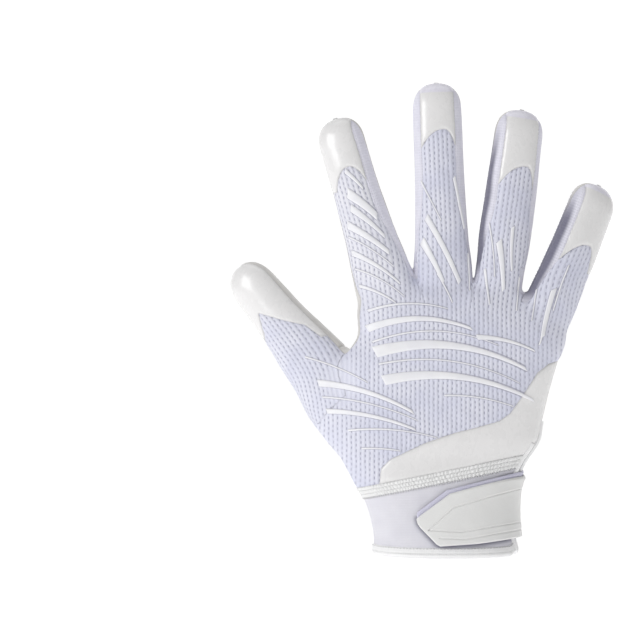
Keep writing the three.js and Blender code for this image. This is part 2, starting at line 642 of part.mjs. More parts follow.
// Cuff, elastic band and bindings
const wristBody = (offset) => handBody(offset, offset < 0 ? "inner" : "outer", WRIST_SECTIONS);
const bandAround = (inner, outer) => wristBody(outer).subtract(wristBody(inner));
const wrist_elastic = bandAround(-WALL, ELASTIC.proud)
  .intersect(back_room)
  .intersect(above(elastic_low))
  .subtract(above(elastic_high));
const cuff_fabric = shell
  .intersect(back_room)
  .subtract(above(elastic_low - SEAM_GAP))
  .intersect(box(far_left, far_right, -FAR, FAR, hem_top, BEYOND.top));
const hem_binding = bandAround(-WALL - HEM.proud, HEM.proud)
  .intersect(box(far_left, far_right, -FAR, FAR, 0, HEM.height))
  .subtract(slitRoom(slit_back_y, slit_palm_y, BEYOND.top));
const binding_band = bandAround(-WALL - SLIT.proud, SLIT.proud);
const bindingStrip = (y0, y1, top) =>
  binding_band.intersect(box(CUFF.width * 0.3, far_right, y0, y1, hem_top, top));
const slit_binding_palm = bindingStrip(slit_palm_y, slit_palm_y + SLIT.binding, SLIT.palm_top);
const slit_binding_back = bindingStrip(slit_back_y - SLIT.binding, slit_back_y, SLIT.top);

// Closing strap with the backing that it is sewn to, and the pull tab on the palm side
const strap_clear = Math.max(HEM.proud, SLIT.proud, ELASTIC.proud) + SEAM_GAP;
const strap_from = CUFF.width * STRAP.end - STRAP.length;
const strapOutline = (spread) =>
  STRAP_OUTLINE.map(({ along, up }) => [
    strap_from + along * STRAP.length - (along < 0.5 ? spread : 0),
    STRAP.low + up * STRAP.width + (up > 0.3 ? spread : 0),
  ]);
const strapLayer = (inner, outer, spread) =>
  bandAround(inner, outer).intersect(slab(strapOutline(spread), -FAR, STRAP.wrap_y));
const backing_out = strap_clear + BACKING.thick;
const strap_backing = strapLayer(strap_clear, backing_out, BACKING.shows);
const closure_strap = strapLayer(backing_out + SEAM_GAP, backing_out + SEAM_GAP + STRAP.thick, 0);

const tab_clear = HEM.proud + SEAM_GAP;
const tab_x = TAB.centre * CUFF.width;
const tab_sides = [tab_x - TAB.width / 2, tab_x + TAB.width / 2];
const pull_tab = bandAround(tab_clear, tab_clear + TAB.thick).intersect(
  box(...tab_sides, 0, FAR, -TAB.below_hem, TAB.length - TAB.below_hem),
);

// Raised bars: tapered, slightly bent outlines pressed onto the back
function ribOutline({ from, to, bend, wide }) {
  const place = ([x, z]) => new THREE.Vector2(x * PALM.width, wrist_z + z * PALM.rise);
  const [start, end] = [place(from), place(to)];
  const run = end.clone().sub(start);
  const across = new THREE.Vector2(-run.y, run.x).normalize();
  const sides = [[], []];
  for (let n = 0; n <= RIB_STEPS; n++) {
    const share = n / RIB_STEPS;
    const middle = start.clone().addScaledVector(run, share);
    middle.addScaledVector(across, bend * run.length() * 4 * share * (1 - share));
    const half = THREE.MathUtils.lerp(wide[0], wide[1], share) / 2;
    sides[0].push(middle.clone().addScaledVector(across, half).toArray());
    sides[1].unshift(middle.clone().addScaledVector(across, -half).toArray());
  }
  return sides.flat();
}
const over_back = grown(SEAM_GAP + RIB.thick).subtract(grown(SEAM_GAP));
const ribs = RIBS.map((rib) => [rib.name, over_back.intersect(slab(ribOutline(rib), -FAR, 5))]);

const glove = new THREE.Group();
function add(name, body, material) {
  const largest = body.decompose().reduce((a, b) => (b.volume() > a.volume() ? b : a));
  const { numProp, vertProperties, triVerts, numVert } = largest.getMesh();
  const points = new Float32Array(numVert * 3);
  for (let i = 0; i < numVert; i++) points.set(vertProperties.subarray(i * numProp, i * numProp + 3), i * 3);
  const geometry = new THREE.BufferGeometry().setAttribute("position", new THREE.BufferAttribute(points, 3));
  geometry.setIndex(new THREE.BufferAttribute(triVerts, 1));
  geometry.computeVertexNormals();
  const look = new THREE.MeshStandardMaterial({ ...MATERIALS[material], metalness: 0 });
  const mesh = new THREE.Mesh(geometry, look);
  mesh.name = name;
  glove.add(mesh);
}

add("palm_leather", palm_leather, "palm_leather");
add("thumb_leather", thumb_leather, "palm_leather");
add("thumb_cap", thumb_cap, "tip_leather");
tip_caps.forEach(([name, body]) => add("tip_cap_" + name, body, "tip_leather"));
add("back_knit", back_knit, "back_knit");
side_walls.forEach(([name, body]) => add(name, body, "side_knit"));
add("wrist_leather", wrist_leather, "tip_leather");
add("wrist_elastic", wrist_elastic, "elastic");
add("cuff_fabric", cuff_fabric, "cuff_fabric");
add("hem_binding", hem_binding, "binding");
add("slit_binding_palm", slit_binding_palm, "binding");
add("slit_binding_back", slit_binding_back, "binding");
add("strap_backing", strap_backing, "strap_backing");
add("closure_strap", closure_strap, "strap");
add("pull_tab", pull_tab, "pull_tab");
ribs.forEach(([name, body]) => add(name, body, "rib"));

export default glove;
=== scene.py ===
import math

import bpy
import numpy as np
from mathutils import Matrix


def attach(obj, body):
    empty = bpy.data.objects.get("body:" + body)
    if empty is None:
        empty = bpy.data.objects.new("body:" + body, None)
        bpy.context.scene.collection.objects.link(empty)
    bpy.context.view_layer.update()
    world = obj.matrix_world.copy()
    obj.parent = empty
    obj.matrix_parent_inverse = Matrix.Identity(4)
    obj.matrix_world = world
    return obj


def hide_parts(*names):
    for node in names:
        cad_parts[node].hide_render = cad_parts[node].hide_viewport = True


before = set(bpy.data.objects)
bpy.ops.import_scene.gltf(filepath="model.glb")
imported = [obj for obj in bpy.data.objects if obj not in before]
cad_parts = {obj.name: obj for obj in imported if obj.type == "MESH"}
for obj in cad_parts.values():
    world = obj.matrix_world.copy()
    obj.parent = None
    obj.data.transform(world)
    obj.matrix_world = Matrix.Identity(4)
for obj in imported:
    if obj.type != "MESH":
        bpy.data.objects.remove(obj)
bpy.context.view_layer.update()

MM = 0.001
STEP = 0.8  # spacing of the main surface's mesh, mm

# Dimensions in millimetres, the same as the part's source
CUFF = {"rise": 40, "width": 73.5, "depth": 45}
PALM = {"rise": 100, "width": 108, "depth": 36}
SLIT = {"width": 2.4, "edge_y": -4.2, "top": 57, "palm_top": 68}
ELASTIC = {"height": 5.2, "slope": 0.2, "rise": 41}
STRAP = {"length": 53, "width": 30.7, "thick": 1.7, "low": 10.3, "from_x": -14.8}
TAB = {"width": 12, "length": 34, "centre_x": -31, "below_hem": 1.2}
SIDE_SEAM_Y = -3
KNIT = {"column": 2.27, "row": 2.7}
HAND_SQUARENESS = 2.25
DIGIT_SQUARENESS = 2.2
TIP_SQUARENESS = 2.4
HAND_TOP = {"rise": 129, "round": 9}
BLEND = {"fingers": 1.2, "hand": 3.0, "thumb": 5.0}

# Sections of the cuff and the hand: rise, left, right, front, back
CUFF_SECTIONS = [
    (-0.15, 0.495, 0.475, 0.5, 0.5),
    (0.0, 0.495, 0.475, 0.5, 0.5),
    (0.35, 0.51, 0.447, 0.485, 0.475),
    (0.7, 0.562, 0.444, 0.462, 0.45),
    (0.95, 0.64, 0.463, 0.455, 0.445),
]
PALM_SECTIONS = [
    (0.08, 0.474, 0.36, 0.57, 0.53),
    (0.18, 0.488, 0.42, 0.585, 0.53),
    (0.27, 0.487, 0.437, 0.59, 0.522),
    (0.38, 0.481, 0.458, 0.58, 0.514),
    (0.55, 0.5, 0.503, 0.528, 0.5),
    (0.7, 0.418, 0.541, 0.472, 0.472),
    (0.84, 0.41, 0.46, 0.4, 0.4),
    (1.04, 0.31, 0.24, 0.2, 0.2),
]
# Digits: sections give along, wide and deep
DIGITS = {
    "index": {
        "root": (-0.2389, 0, 0.8), "length": 104, "width": 28.8, "depth": 20.6,
        "lean": -18, "forward": 1, "roll": -12, "bow": 9, "tip": 13, "cap": 25, "cap_peak": 0.1,
        "sections": [(0, 1.2, 1), (0.25, 1.015, 1), (0.39, 0.917, 0.98), (0.63, 0.82, 0.93),
                     (0.87, 0.81, 0.88), (1, 0.79, 0.86)],
    },
    "middle": {
        "root": (-0.0139, 0, 0.8), "length": 117.5, "width": 29.4, "depth": 20.8,
        "lean": -2, "forward": 1, "roll": -1, "bow": 10, "tip": 13, "cap": 23.5, "cap_peak": 0.25,
        "sections": [(0, 1, 1), (0.21, 1, 1), (0.33, 0.918, 0.98), (0.6, 0.85, 0.93),
                     (0.86, 0.84, 0.88), (1, 0.81, 0.86)],
    },
    "ring": {
        "root": (0.2093, 0, 0.8), "length": 105, "width": 27.4, "depth": 20.4,
        "lean": 9.3, "forward": 1, "roll": 12, "bow": 10, "tip": 13, "cap": 28, "cap_peak": 0.35,
        "sections": [(0, 0.9, 1), (0.24, 0.9, 1), (0.37, 0.956, 0.98), (0.6, 0.95, 0.93),
                     (0.83, 0.9, 0.9), (1, 0.88, 0.86)],
    },
    "little": {
        "root": (0.4069, 0, 0.695), "length": 83, "width": 27, "depth": 19,
        "lean": 25, "forward": 2, "roll": 24, "bow": 8, "tip": 12, "cap": 30, "cap_peak": 0.3,
        "sections": [(0, 1, 1), (0.25, 0.99, 1), (0.4, 0.955, 0.98), (0.71, 0.885, 0.94),
                     (0.87, 0.87, 0.9), (1, 0.84, 0.86)],
    },
    "thumb": {
        "root": (-0.288, 3, 0.1485), "length": 119.5, "width": 42, "depth": 33,
        "lean": -39.6, "forward": 12, "roll": -14, "bow": 3, "tip": 16, "cap": 0, "cap_peak": 0,
        "sections": [(-0.11, 0.81, 0.85), (0.1, 0.99, 1), (0.3, 0.96, 0.94), (0.44, 0.81, 0.82),
                     (0.546, 0.74, 0.74), (0.7, 0.62, 0.66), (0.81, 0.58, 0.62), (1, 0.53, 0.58)],
    },
}
FINGERS = ["index", "middle", "ring", "little"]
INNER_SIDES = {"index": (0, 1), "middle": (1, 1), "ring": (1, 1), "little": (1, 0)}
SEAMS = {"front": 0.12, "back": -0.76, "back_at_web": -0.35, "outer": -0.3}
TIP_SEAM = -0.1
CAP_SIDE = 0.7
WEB = {"front_y": 2.5, "back_y": -4.5, "half_width": 6, "depth": 12}
THUMB_START = 0.44
THUMB_SEAM = {"outer": 0.18, "outer_end": -0.15, "inner": -0.42}
HAND_SEAM = {"thumb_x": -76, "thumb_run": 32, "thumb_y": 14, "little_z": 74, "little_run": 54, "little_y": 4}
WALL_FROM = 0.16  # where side walls begin, in shares of a finger's length, and end, in shares of its tip
OUTSIDE = -99.0  # the distance given to what can't be on a panel
OVERLAP = 0.5  # each skin runs this far under its neighbour
DIVE = 1.1  # and goes this deep there
LINING_DEPTH = 1.5
PUFF_PITCH = 1.75  # gathered puffs of the elastic
BAR_SLANT = 0.7  # slope of the bars' cut ends
ROLL = {"rise": 2.9, "half_height": 2.75, "half_width": 2.0, "inset": 0.8, "arch": 1.5, "end_lift": 1.6}
# The knit's holes fade round this place beside the thumb's root
CALM = {"x": -22, "z": 33, "flat": 0.62, "near": 5, "far": 11}
# Plain bars on the palm's leather and on the fingers' fronts
PALM_BARS = {"across": 0.64, "up": 0.77, "shift": 400, "pitch": 9.0, "half": 1.6}
PALM_BARS_ZONE = [(-30, 62), (-4, 52), (38, 88), (30, 109), (-18, 104), (-36, 84)]
FINGER_BARS = {"shift": 100, "pitch": 13.0, "half": 0.55, "width": 0.62, "from": 30}
# Rows of stitches
FINGER_STITCH = {"pitch": 2.1, "long": 1.5, "radius": 0.2, "lift": 0.12}
TIP_STITCH = {"pitch": 1.2, "long": 1.7, "radius": 0.42, "lift": 0.3}
PUFF_STITCH = {"pitch": PUFF_PITCH, "long": 1.2, "radius": 0.2, "lift": 0.05}
TOP_STITCH = {"pitch": 1.9, "long": 1.3, "radius": 0.2, "lift": 0.25}
OVERCAST_STITCH = {"pitch": 1.3, "long": 1.5, "radius": 0.3, "lift": 0.2, "turned": True}
HEM_STITCH = {"pitch": 1.7, "long": 1.25, "radius": 0.24, "lift": 0.15}
THUMB_CAP = [(-1.6, 0.63), (-0.79, 0.7), (-0.365, 0.778), (0.2, 0.692), (0.82, 0.606), (1.016, 0.522),
             (1.6, 0.5)]
PALM_EDGE = [(-0.34, -0.2), (-0.365, 0.62), (-0.41, 0.84), (-0.49, 1.1), (-0.57, 1.36),
             (-0.71, 1.66), (-0.86, 1.86), (-1.06, 2.12)]
WRIST_EDGE = [(-0.319, -0.05), (-0.31, 0.045), (-0.265, 0.093), (-0.117, 0.168), (0.032, 0.225),
              (0.149, 0.256), (0.234, 0.283), (0.287, 0.323), (0.322, 0.375), (0.37, 0.449),
              (0.415, 0.52), (0.468, 0.564), (0.55, 0.59)]
STRAP_OUTLINE = [(-0.015, 0.31), (-0.005, 0.235), (0.02, 0.17), (0.165, -0.1), (0.2, -0.135),
                 (0.55, -0.095), (1.0, 0.0), (1.25, 0.02), (1.25, 1.08), (1.0, 1.05), (0.6, 0.87),
                 (0.29, 0.725), (0.02, 0.365)]
# Raised bars: name, from, to, bend, widths at both ends
RIBS = [
    ("rib_knuckle_1", (-0.375, 0.74), (0.11, 0.74), 0.1, (3.4, 1.8)),
    ("rib_knuckle_2", (-0.34, 0.625), (0.36, 0.54), 0.1, (5.2, 2.2)),
    ("rib_knuckle_3", (-0.3, 0.485), (0.395, 0.385), 0.09, (4.6, 2.0)),
    ("rib_thumb_1", (-0.6, 0.47), (-0.16, 0.325), 0.06, (3.2, 1.6)),
    ("rib_thumb_2", (-0.56, 0.33), (-0.15, 0.24), 0.05, (2.4, 1.4)),
    ("rib_index_1", (-0.465, 1.42), (-0.325, 1.3), 0.03, (4.6, 3.2)),
    ("rib_index_2", (-0.465, 1.26), (-0.27, 1.12), 0.03, (3.6, 2.2)),
    ("rib_middle_1", (-0.1, 1.3), (0.055, 0.97), 0.02, (3.0, 2.2)),
    ("rib_ring_1", (0.235, 1.18), (0.255, 0.93), 0.02, (3.2, 1.8)),
    ("rib_little_1", (0.49, 0.94), (0.435, 0.7), -0.02, (2.8, 2.0)),
]
# Thin printed lines and bars between them, lower than the raised bars of the source
THIN_BARS = [
    ((-0.475, 1.53), (-0.39, 1.44), 0.03, (2.2, 1.2)),
    ((-0.45, 1.345), (-0.29, 1.2), 0.03, (3.4, 1.6)),
    ((-0.46, 1.2), (-0.25, 1.05), 0.04, (0.8, 0.6)),
    ((-0.445, 1.12), (-0.22, 0.965), 0.05, (2.6, 1.0)),
    ((-0.43, 1.04), (-0.2, 0.9), 0.06, (0.8, 0.6)),
    ((-0.41, 0.955), (-0.24, 0.87), 0.05, (1.6, 0.8)),
    ((-0.125, 1.48), (-0.03, 1.28), 0.0, (0.9, 0.6)),
    ((-0.12, 1.18), (-0.02, 0.97), 0.02, (3.6, 1.8)),
    ((0.03, 1.5), (0.075, 1.24), 0.0, (1.6, 0.8)),
    ((-0.05, 1.02), (0.02, 0.87), 0.02, (1.0, 0.6)),
    ((0.095, 1.12), (0.1, 0.93), 0.0, (0.8, 0.6)),
    ((0.19, 1.27), (0.215, 1.0), 0.02, (0.8, 0.6)),
    ((0.3, 1.25), (0.295, 1.03), -0.02, (2.0, 1.0)),
    ((0.17, 1.04), (0.19, 0.86), 0.0, (1.4, 0.8)),
    ((0.33, 1.0), (0.315, 0.83), 0.0, (0.8, 0.6)),
    ((0.56, 1.06), (0.485, 0.83), -0.02, (0.8, 0.6)),
    ((0.46, 0.8), (0.42, 0.66), 0.0, (1.2, 0.7)),
    ((0.41, 0.94), (0.385, 0.78), 0.0, (0.8, 0.6)),
    ((-0.37, 0.83), (0.0, 0.84), 0.08, (1.2, 0.6)),
    ((-0.35, 0.675), (0.23, 0.66), 0.1, (0.8, 0.6)),
    ((0.13, 0.7), (0.4, 0.63), 0.06, (2.4, 1.0)),
    ((-0.32, 0.565), (0.33, 0.47), 0.09, (0.8, 0.6)),
    ((-0.02, 0.41), (0.3, 0.355), 0.05, (0.8, 0.6)),
    ((-0.66, 0.6), (-0.37, 0.475), 0.03, (0.8, 0.6)),
    ((-0.58, 0.4), (-0.14, 0.285), 0.05, (0.8, 0.6)),
    ((-0.46, 0.235), (-0.05, 0.2), 0.05, (0.9, 0.6)),
    ((-0.4, 0.145), (-0.22, 0.135), 0.03, (0.9, 0.6)),
]


# Small helpers
def lerp(a, b, share):
    return a + (b - a) * share


def smooth(value, start, end):
    share = np.clip((value - start) / (end - start), 0, 1)
    return share * share * (3 - 2 * share)


def smooth_min(a, b, reach):
    h = np.maximum(reach - np.abs(a - b), 0) / reach
    return np.minimum(a, b) - h * h * reach / 4


def smooth_table(rows, column, count=400):
    """A smooth curve through one column of a table, sampled for np.interp."""
    keys = np.array([row[0] for row in rows], float)
    values = np.array([row[column] for row in rows], float)
    slopes = np.gradient(values, keys)
    slopes[1:-1] = (values[2:] - values[:-2]) / (keys[2:] - keys[:-2])
    at = np.linspace(keys[0], keys[-1], count)
    i = np.clip(np.searchsorted(keys, at) - 1, 0, len(keys) - 2)
    step = keys[i + 1] - keys[i]
    u = (at - keys[i]) / step
    return at, (
        (2 * u**3 - 3 * u**2 + 1) * values[i]
        + (u**3 - 2 * u**2 + u) * step * slopes[i]
        + (3 * u**2 - 2 * u**3) * values[i + 1]
        + (u**3 - u**2) * step * slopes[i + 1]
    )


def ripple(p, wave, seed, count=10):
    """Smooth noise between about -1 and 1, made of waves of one length in fixed directions."""
    rng = np.random.default_rng(seed)
    total = np.zeros(len(p))
    for _ in range(count):
        way = rng.normal(size=3)
        way *= rng.uniform(0.6, 1.5) * 2 * math.pi / wave / np.linalg.norm(way)
        total += np.sin(p @ way + rng.uniform(0, 2 * math.pi))
    return total / math.sqrt(count / 2) / 1.6


def polygon_distance(x, z, polygon, closed=True):
    """Distance to an outline, positive inside where it is closed."""
    polygon = np.array(polygon, float)
    ends = np.roll(polygon, -1, 0) if closed else polygon[1:]
    starts = polygon if closed else polygon[:-1]
    best = np.full(len(x), 1e9)
    inside = np.zeros(len(x), bool)
    for (ax, az), (bx, bz) in zip(starts, ends):
        dx, dz = bx - ax, bz - az
        share = np.clip(((x - ax) * dx + (z - az) * dz) / (dx * dx + dz * dz), 0, 1)
        best = np.minimum(best, np.hypot(x - ax - share * dx, z - az - share * dz))
        if dz:
            crosses = (az > z) != (bz > z)
            inside ^= crosses & (x < ax + (z - az) / dz * dx)
    return np.where(inside, best, -best) if closed else best


# The glove's form as a field: negative inside, in millimetres near the surface
class Digit:
    def __init__(self, row):
        self.row = row
        lean, forward, roll = (math.radians(row[key]) for key in ("lean", "forward", "roll"))
        x, y, z = row["root"]
        self.root = np.array([x * PALM["width"], y, CUFF["rise"] + z * PALM["rise"]])
        self.length, self.tip = row["length"], row["tip"]
        upright = math.cos(forward)
        self.along = np.array([math.sin(lean) * upright, math.sin(forward), math.cos(lean) * upright])
        front = np.array([0.0, 1.0, 0.0]) - self.along * self.along[1]
        front /= np.linalg.norm(front)
        self.front = front * math.cos(roll) + np.cross(self.along, front) * math.sin(roll)
        self.across = np.cross(self.front, self.along)
        self.wide_table = smooth_table(row["sections"], 1)
        self.deep_table = smooth_table(row["sections"], 2)
        self.start = row["sections"][0][0] * self.length

    def half(self, t):
        share = np.clip(t / self.length, -1, 1)
        wide = np.interp(share, *self.wide_table) * self.row["width"] / 2
        return wide, np.interp(share, *self.deep_table) * self.row["depth"] / 2

    def curl(self, t):
        return self.row["bow"] * np.maximum(0, t / self.length) ** 2

    def local(self, p):
        d = p - self.root
        t = d @ self.along
        return t, d @ self.across, d @ self.front - self.curl(t)

    def place(self, t, a, b):
        t, a, b = np.broadcast_arrays(t, a, b)
        out = self.root + t[..., None] * self.along + a[..., None] * self.across
        return out + (b + self.curl(t))[..., None] * self.front

    def field(self, p):
        t, a, b = self.local(p)
        wide, deep = self.half(t)
        u, v = np.abs(a) / wide, np.abs(b) / deep
        q = (u**DIGIT_SQUARENESS + v**DIGIT_SQUARENESS) ** (1 / DIGIT_SQUARENESS) + 1e-6
        past = np.maximum(0, (t - self.length + self.tip) / self.tip)
        s = np.maximum(past, np.maximum(0, (self.start - t) / wide))
        n = (q**TIP_SQUARENESS + s**TIP_SQUARENESS) ** (1 / TIP_SQUARENESS)
        power = DIGIT_SQUARENESS - 1
        slope = np.hypot((u / q) ** power / wide, (v / q) ** power / deep)
        slope *= (q / n) ** (TIP_SQUARENESS - 1)
        end = (s / n) ** (TIP_SQUARENESS - 1) / np.where(past > 0, self.tip, wide)
        return (n - 1) / np.hypot(slope, end)


digits = {name: Digit(row) for name, row in DIGITS.items()}
thumb = digits["thumb"]
hand_rows = [(r * CUFF["rise"], *(s * CUFF["width"] for s in (a, b)), *(s * CUFF["depth"] for s in (c, d)))
             for r, a, b, c, d in CUFF_SECTIONS]
hand_rows += [(CUFF["rise"] + r * PALM["rise"], *(s * PALM["width"] for s in (a, b)),
               *(s * PALM["depth"] for s in (c, d))) for r, a, b, c, d in PALM_SECTIONS]
hand_tables = [smooth_table(hand_rows, column) for column in (1, 2, 3, 4)]


def hand_field(p):
    x, y, z = p.T
    left, right, front, back = (np.interp(z, *table) for table in hand_tables)
    half = (left + right) / 2
    u = np.abs(x - (right - left) / 2) / half
    depth = np.where(y > 0, front, back)
    v = np.abs(y) / depth
    q = (u**HAND_SQUARENESS + v**HAND_SQUARENESS) ** (1 / HAND_SQUARENESS) + 1e-6
    s = np.maximum(0, (z - HAND_TOP["rise"]) / HAND_TOP["round"])
    n = (q**HAND_SQUARENESS + s**HAND_SQUARENESS) ** (1 / HAND_SQUARENESS)
    power = HAND_SQUARENESS - 1
    slope = np.hypot((u / q) ** power / half, (v / q) ** power / depth) * (q / n) ** power
    return (n - 1) / np.hypot(slope, (s / n) ** power / HAND_TOP["round"])


def glove_field(p):
    body = hand_field(p)
    fingers = digits["index"].field(p)
    for name in FINGERS[1:]:
        fingers = smooth_min(fingers, digits[name].field(p), BLEND["fingers"])
    return smooth_min(smooth_min(body, fingers, BLEND["hand"]), thumb.field(p), BLEND["thumb"])


def gradient(p, eps=0.25):
    out = np.empty_like(p)
    for axis in range(3):
        step = np.zeros(3)
        step[axis] = eps
        out[:, axis] = glove_field(p + step) - glove_field(p - step)
    return out / (2 * eps)


def to_surface(p, times=3):
    for _ in range(times):
        g = gradient(p)
        p = p - g * (glove_field(p) / np.maximum((g * g).sum(1), 0.05))[:, None]
    return p


def unit(v):
    return v / np.maximum(np.linalg.norm(v, axis=1), 1e-9)[:, None]


def surface_net(low, high, step):
    """A triangle mesh of the glove's surface, with its points set exactly on it."""
    low = np.array(low, float)
    blocks = np.ceil((np.array(high) - low) / (4 * step)).astype(int)
    grid = [np.arange(n) for n in blocks]
    centres = np.stack(np.meshgrid(*grid, indexing="ij"), -1).reshape(-1, 3) * 4 * step + low + 2 * step
    rough = glove_field(centres).reshape(blocks)
    node_block = [np.minimum(np.arange(4 * n + 1) // 4, n - 1) for n in blocks]
    values = rough[np.ix_(*node_block)]
    near = np.abs(values) < 5.5 * step
    at = np.argwhere(near)
    values[near] = glove_field(at * step + low)
    inside = values < 0
    shape = [4 * n for n in blocks]
    corner = lambda i, j, k: inside[i:i + shape[0], j:j + shape[1], k:k + shape[2]].astype(np.int8)
    count = sum(corner(i, j, k) for i in (0, 1) for j in (0, 1) for k in (0, 1))
    active = (count > 0) & (count < 8)
    cells = np.argwhere(active)
    ids = np.full(active.shape, -1)
    ids[active] = np.arange(len(cells))
    total = np.zeros((len(cells), 3))
    hits = np.zeros(len(cells))
    for axis in range(3):
        for first in (0, 1):
            for second in (0, 1):
                start = np.zeros(3, int)
                start[(axis + 1) % 3], start[(axis + 2) % 3] = first, second
                end = start.copy()
                end[axis] = 1
                a, b = cells + start, cells + end
                fa, fb = values[tuple(a.T)], values[tuple(b.T)]
                cut = (fa < 0) != (fb < 0)
                share = np.where(cut, fa / np.where(cut, fa - fb, 1), 0)
                total += np.where(cut[:, None], a + (b - a) * share[:, None], 0)
                hits += cut
    points = total / hits[:, None] * step + low
    quads = []
    for axis in range(3):
        u, v = (axis + 1) % 3, (axis + 2) % 3
        lead = [slice(0, n) for n in shape]
        lead[u], lead[v] = slice(1, shape[u]), slice(1, shape[v])
        ahead = list(lead)
        ahead[axis] = slice(1, shape[axis] + 1)
        a, b = inside[tuple(lead)], inside[tuple(ahead)]
        at = np.argwhere(a != b)
        flip = a[tuple(at.T)]
        at[:, u] += 1
        at[:, v] += 1
        back_u, back_v = np.zeros(3, int), np.zeros(3, int)
        back_u[u], back_v[v] = 1, 1
        ring = [ids[tuple((at - s).T)] for s in (back_u + back_v, back_v, 0 * back_u, back_u)]
        quad = np.stack(ring, 1)
        quads.append(np.where(flip[:, None], quad, quad[:, ::-1]))
    quads = np.concatenate(quads)
    quads = quads[(quads >= 0).all(1)]
    points = to_surface(points)
    p = points[quads]
    short = np.linalg.norm(p[:, 0] - p[:, 2], axis=1) < np.linalg.norm(p[:, 1] - p[:, 3], axis=1)
    one = np.where(short[:, None], quads[:, [0, 1, 2]], quads[:, [0, 1, 3]])
    two = np.where(short[:, None], quads[:, [0, 2, 3]], quads[:, [1, 2, 3]])
    return points, np.concatenate([one, two])


def clip(data, faces, value):
    """The part of a mesh where value is above zero, cut along the line where it is zero."""
    data = np.column_stack([data, value])
    inside = value[faces] > 0
    count = inside.sum(1)
    made, edges = [faces[count == 3]], []
    for want in (1, 2):
        chosen = count == want
        odd = inside[chosen] if want == 1 else ~inside[chosen]
        turn = (odd.argmax(1)[:, None] + np.arange(3)) % 3
        edges.append(np.take_along_axis(faces[chosen], turn, 1))
    pairs = np.concatenate([e[:, [0, k]] for e in edges for k in (1, 2)])
    pairs.sort(axis=1)
    unique, back = np.unique(pairs, axis=0, return_inverse=True)
    back = back.ravel() + len(data)
    a, b = data[unique[:, 0]], data[unique[:, 1]]
    share = a[:, -1] / (a[:, -1] - b[:, -1])
    data = np.concatenate([data, a + (b - a) * share[:, None]])
    one, two = len(edges[0]), len(edges[1])
    first = edges[0][:, 0]
    made.append(np.stack([first, back[:one], back[one:2 * one]], 1))
    left, right = back[2 * one:2 * one + two], back[2 * one + two:]
    made.append(np.stack([left, edges[1][:, 1], edges[1][:, 2]], 1))
    made.append(np.stack([left, edges[1][:, 2], right], 1))
    faces = np.concatenate(made)
    used, faces = np.unique(faces, return_inverse=True)
    return data[used], faces.reshape(-1, 3)


